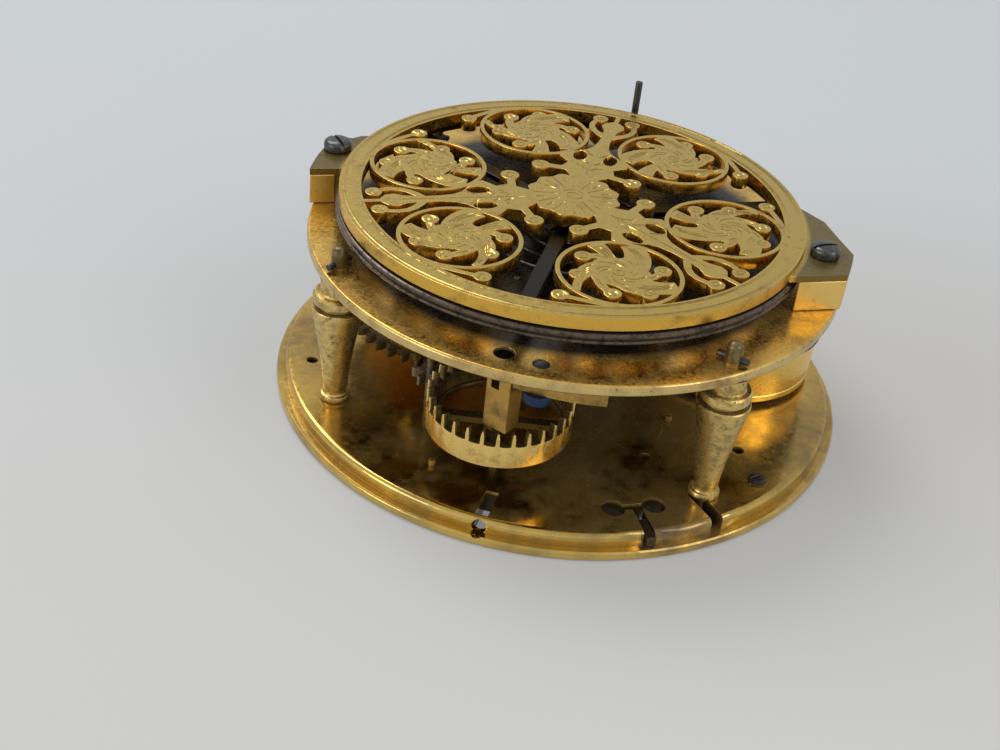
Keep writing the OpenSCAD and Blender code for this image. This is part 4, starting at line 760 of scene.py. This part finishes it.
TURN_POINTS = 48
STRAND_HIGH, STRAND_SPOTS, SLACK = 5.75, (0.02, 0.5, 0.98), 10
ON_BARREL, BARREL_TURNS, BARREL_CLIMB = 6.78, 5, 0.79
ON_FUSEE, FUSEE_TURNS, FUSEE_CLIMB, FUSEE_WIDENING = 4.753, 1, -0.75, 0.25
span = BARREL - FUSEE
tangent = math.degrees(math.atan2(span.y, span.x) + math.acos((ON_FUSEE - ON_BARREL) / span.length))
chain("chain_on_barrel", wound(BARREL, ON_BARREL, 0, tangent - SLACK, -1, BARREL_CLIMB, BARREL_TURNS))
chain("chain_on_fusee", wound(FUSEE, ON_FUSEE, FUSEE_WIDENING, tangent + SLACK, 1, FUSEE_CLIMB, FUSEE_TURNS))
start, end = BARREL + ray(ON_BARREL, tangent), FUSEE + ray(ON_FUSEE, tangent)
chain("chain_strand", [(*(start + (end - start) * t), STRAND_HIGH) for t in STRAND_SPOTS])
bpy.data.objects.remove(link, do_unlink=True)

# %% [markdown]
# The balance spring is a round steel wire wound into a flat spiral, so it is drawn as one.

# %% Balance spring
SPRING_TURNS, SPRING_IN, SPRING_OUT, SPRING_END, SPRING_POINTS = 4, 1.22, 7.6, 60, 240
SPRING_WIRE, SPRING_ROUNDNESS = 0.12, 2
SPRING_HIGH = DECK_TOP + 0.7
coil = [STAFF + ray(SPRING_IN + (SPRING_OUT - SPRING_IN) * t, SPRING_END - 360 * SPRING_TURNS * (1 - t))
        for t in [i / SPRING_POINTS for i in range(SPRING_POINTS + 1)]]
spring = rods("balance_spring_wire", [coil], SPRING_HIGH, SPRING_WIRE, SPRING_ROUNDNESS)
settle(spring)
stand_in(spring, "balance_spring")

# %% [markdown]
# The small hole at the front of the top plate gets a black disc a little below its mouth. It gives back
# almost no light: painted shade, so that the hole reads as a hole.

# %% Painted shade in a hole
HOLE_SHADE_PLACE, HOLE_SHADE_STEPS = Vector((-4.1, -16.4)), 32
HOLE_SHADE_FORM = [(0, -0.3), (0.4, -0.28), (0.66, -0.2)]
hole_shade_finish, tree, _ = fresh("painted_hole_shade")
finish_shader(tree, add(tree, "ShaderNodeBsdfPrincipled", Base_Color=linear("#0E0C0A"), Roughness=1.0,
                        Specular_IOR_Level=0.05))
dark_disc = turned("painted_hole_shade", lifted(HOLE_SHADE_FORM, DECK_TOP), HOLE_SHADE_PLACE, HOLE_SHADE_STEPS)
dark_disc.data.materials.append(hole_shade_finish)
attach(dark_disc, body_of["top_plate"])

# %% [markdown]
# The movement stands on a pale sheet under a large soft lamp behind it, with a weaker one at the right and
# a low window at the left front. For the eye and for reflections, part of the sheet glows by itself: painted
# light that keeps the movement's shadow on it weak. It is a little warmer towards the front, and darker at
# the right, where a painted shadow of the movement lies.

# %% Floor and light
FLOOR_SIZE, FLOOR_DROP = 4.0, 0.02
SHEET_BACK, SHEET_FRONT = 50, -35
SHADE_PLACE, SHADE_OUT, SHADE_IN, SHADE_SHARE = (34, 4), 42, 4, 0.75
SHINE = 0.3
ROOM_STRENGTH = 0.8
bpy.ops.object.select_all(action="DESELECT")
bpy.ops.mesh.primitive_plane_add(size=FLOOR_SIZE, location=(0, 0, -FLOOR_DROP * MM))
floor = bpy.context.object
floor.name = "floor"
paper, tree, place = fresh("pale_paper")
depth = add(tree, "ShaderNodeSeparateXYZ", Vector=place).outputs["Y"]
front = ramp(tree, depth, SHEET_BACK * MM, SHEET_FRONT * MM)
# A painted shadow beside the movement, darkest near its right side.
right = ringed(tree, place, SHADE_PLACE, SHADE_OUT, SHADE_IN, SHADE_SHARE)
sheet = mixed(tree, front, linear("#C4C8CB"), linear("#CBCAC7"))
sheet = mixed(tree, right, sheet, linear("#BEBBB6"))
matt = add(tree, "ShaderNodeBsdfPrincipled", Base_Color=sheet, Roughness=0.9)
# Painted light: the sheet glows in its own colour for camera and glossy rays, which weakens its shadows.
glow = add(tree, "ShaderNodeEmission", Color=sheet)
rays = add(tree, "ShaderNodeLightPath").outputs
seen = reckon(tree, "ADD", rays["Is Camera Ray"], rays["Is Glossy Ray"])
seen = reckon(tree, "ADD", seen, rays["Is Transmission Ray"])
part = reckon(tree, "MULTIPLY", seen, SHINE)
finish_shader(tree, add(tree, "ShaderNodeMixShader", n0=part, n1=matt.outputs[0], n2=glow.outputs[0]))
floor.data.materials.append(paper)

world = bpy.data.worlds.new("room")
world.use_nodes = True
bpy.context.scene.world = world
world.node_tree.nodes["Background"].inputs["Color"].default_value = linear("#E6E8EA")
world.node_tree.nodes["Background"].inputs["Strength"].default_value = ROOM_STRENGTH


def lamp(name, place_mm, size_mm, watts):
    """A round soft lamp that faces the movement."""
    light = bpy.data.lights.new(name, "AREA")
    light.shape = "DISK"
    light.size = size_mm * MM
    light.energy = watts
    holder = bpy.data.objects.new(name, light)
    spot = Vector(place_mm) * MM
    holder.matrix_world = Matrix.Translation(spot) @ (-spot).to_track_quat("-Z", "Y").to_matrix().to_4x4()
    bpy.context.scene.collection.objects.link(holder)


lamp("key", place_mm=(-170, 210, 360), size_mm=260, watts=0.72)
lamp("fill", place_mm=(300, -160, 260), size_mm=240, watts=0.3)
lamp("window", place_mm=(-330, -210, 130), size_mm=200, watts=0.3)
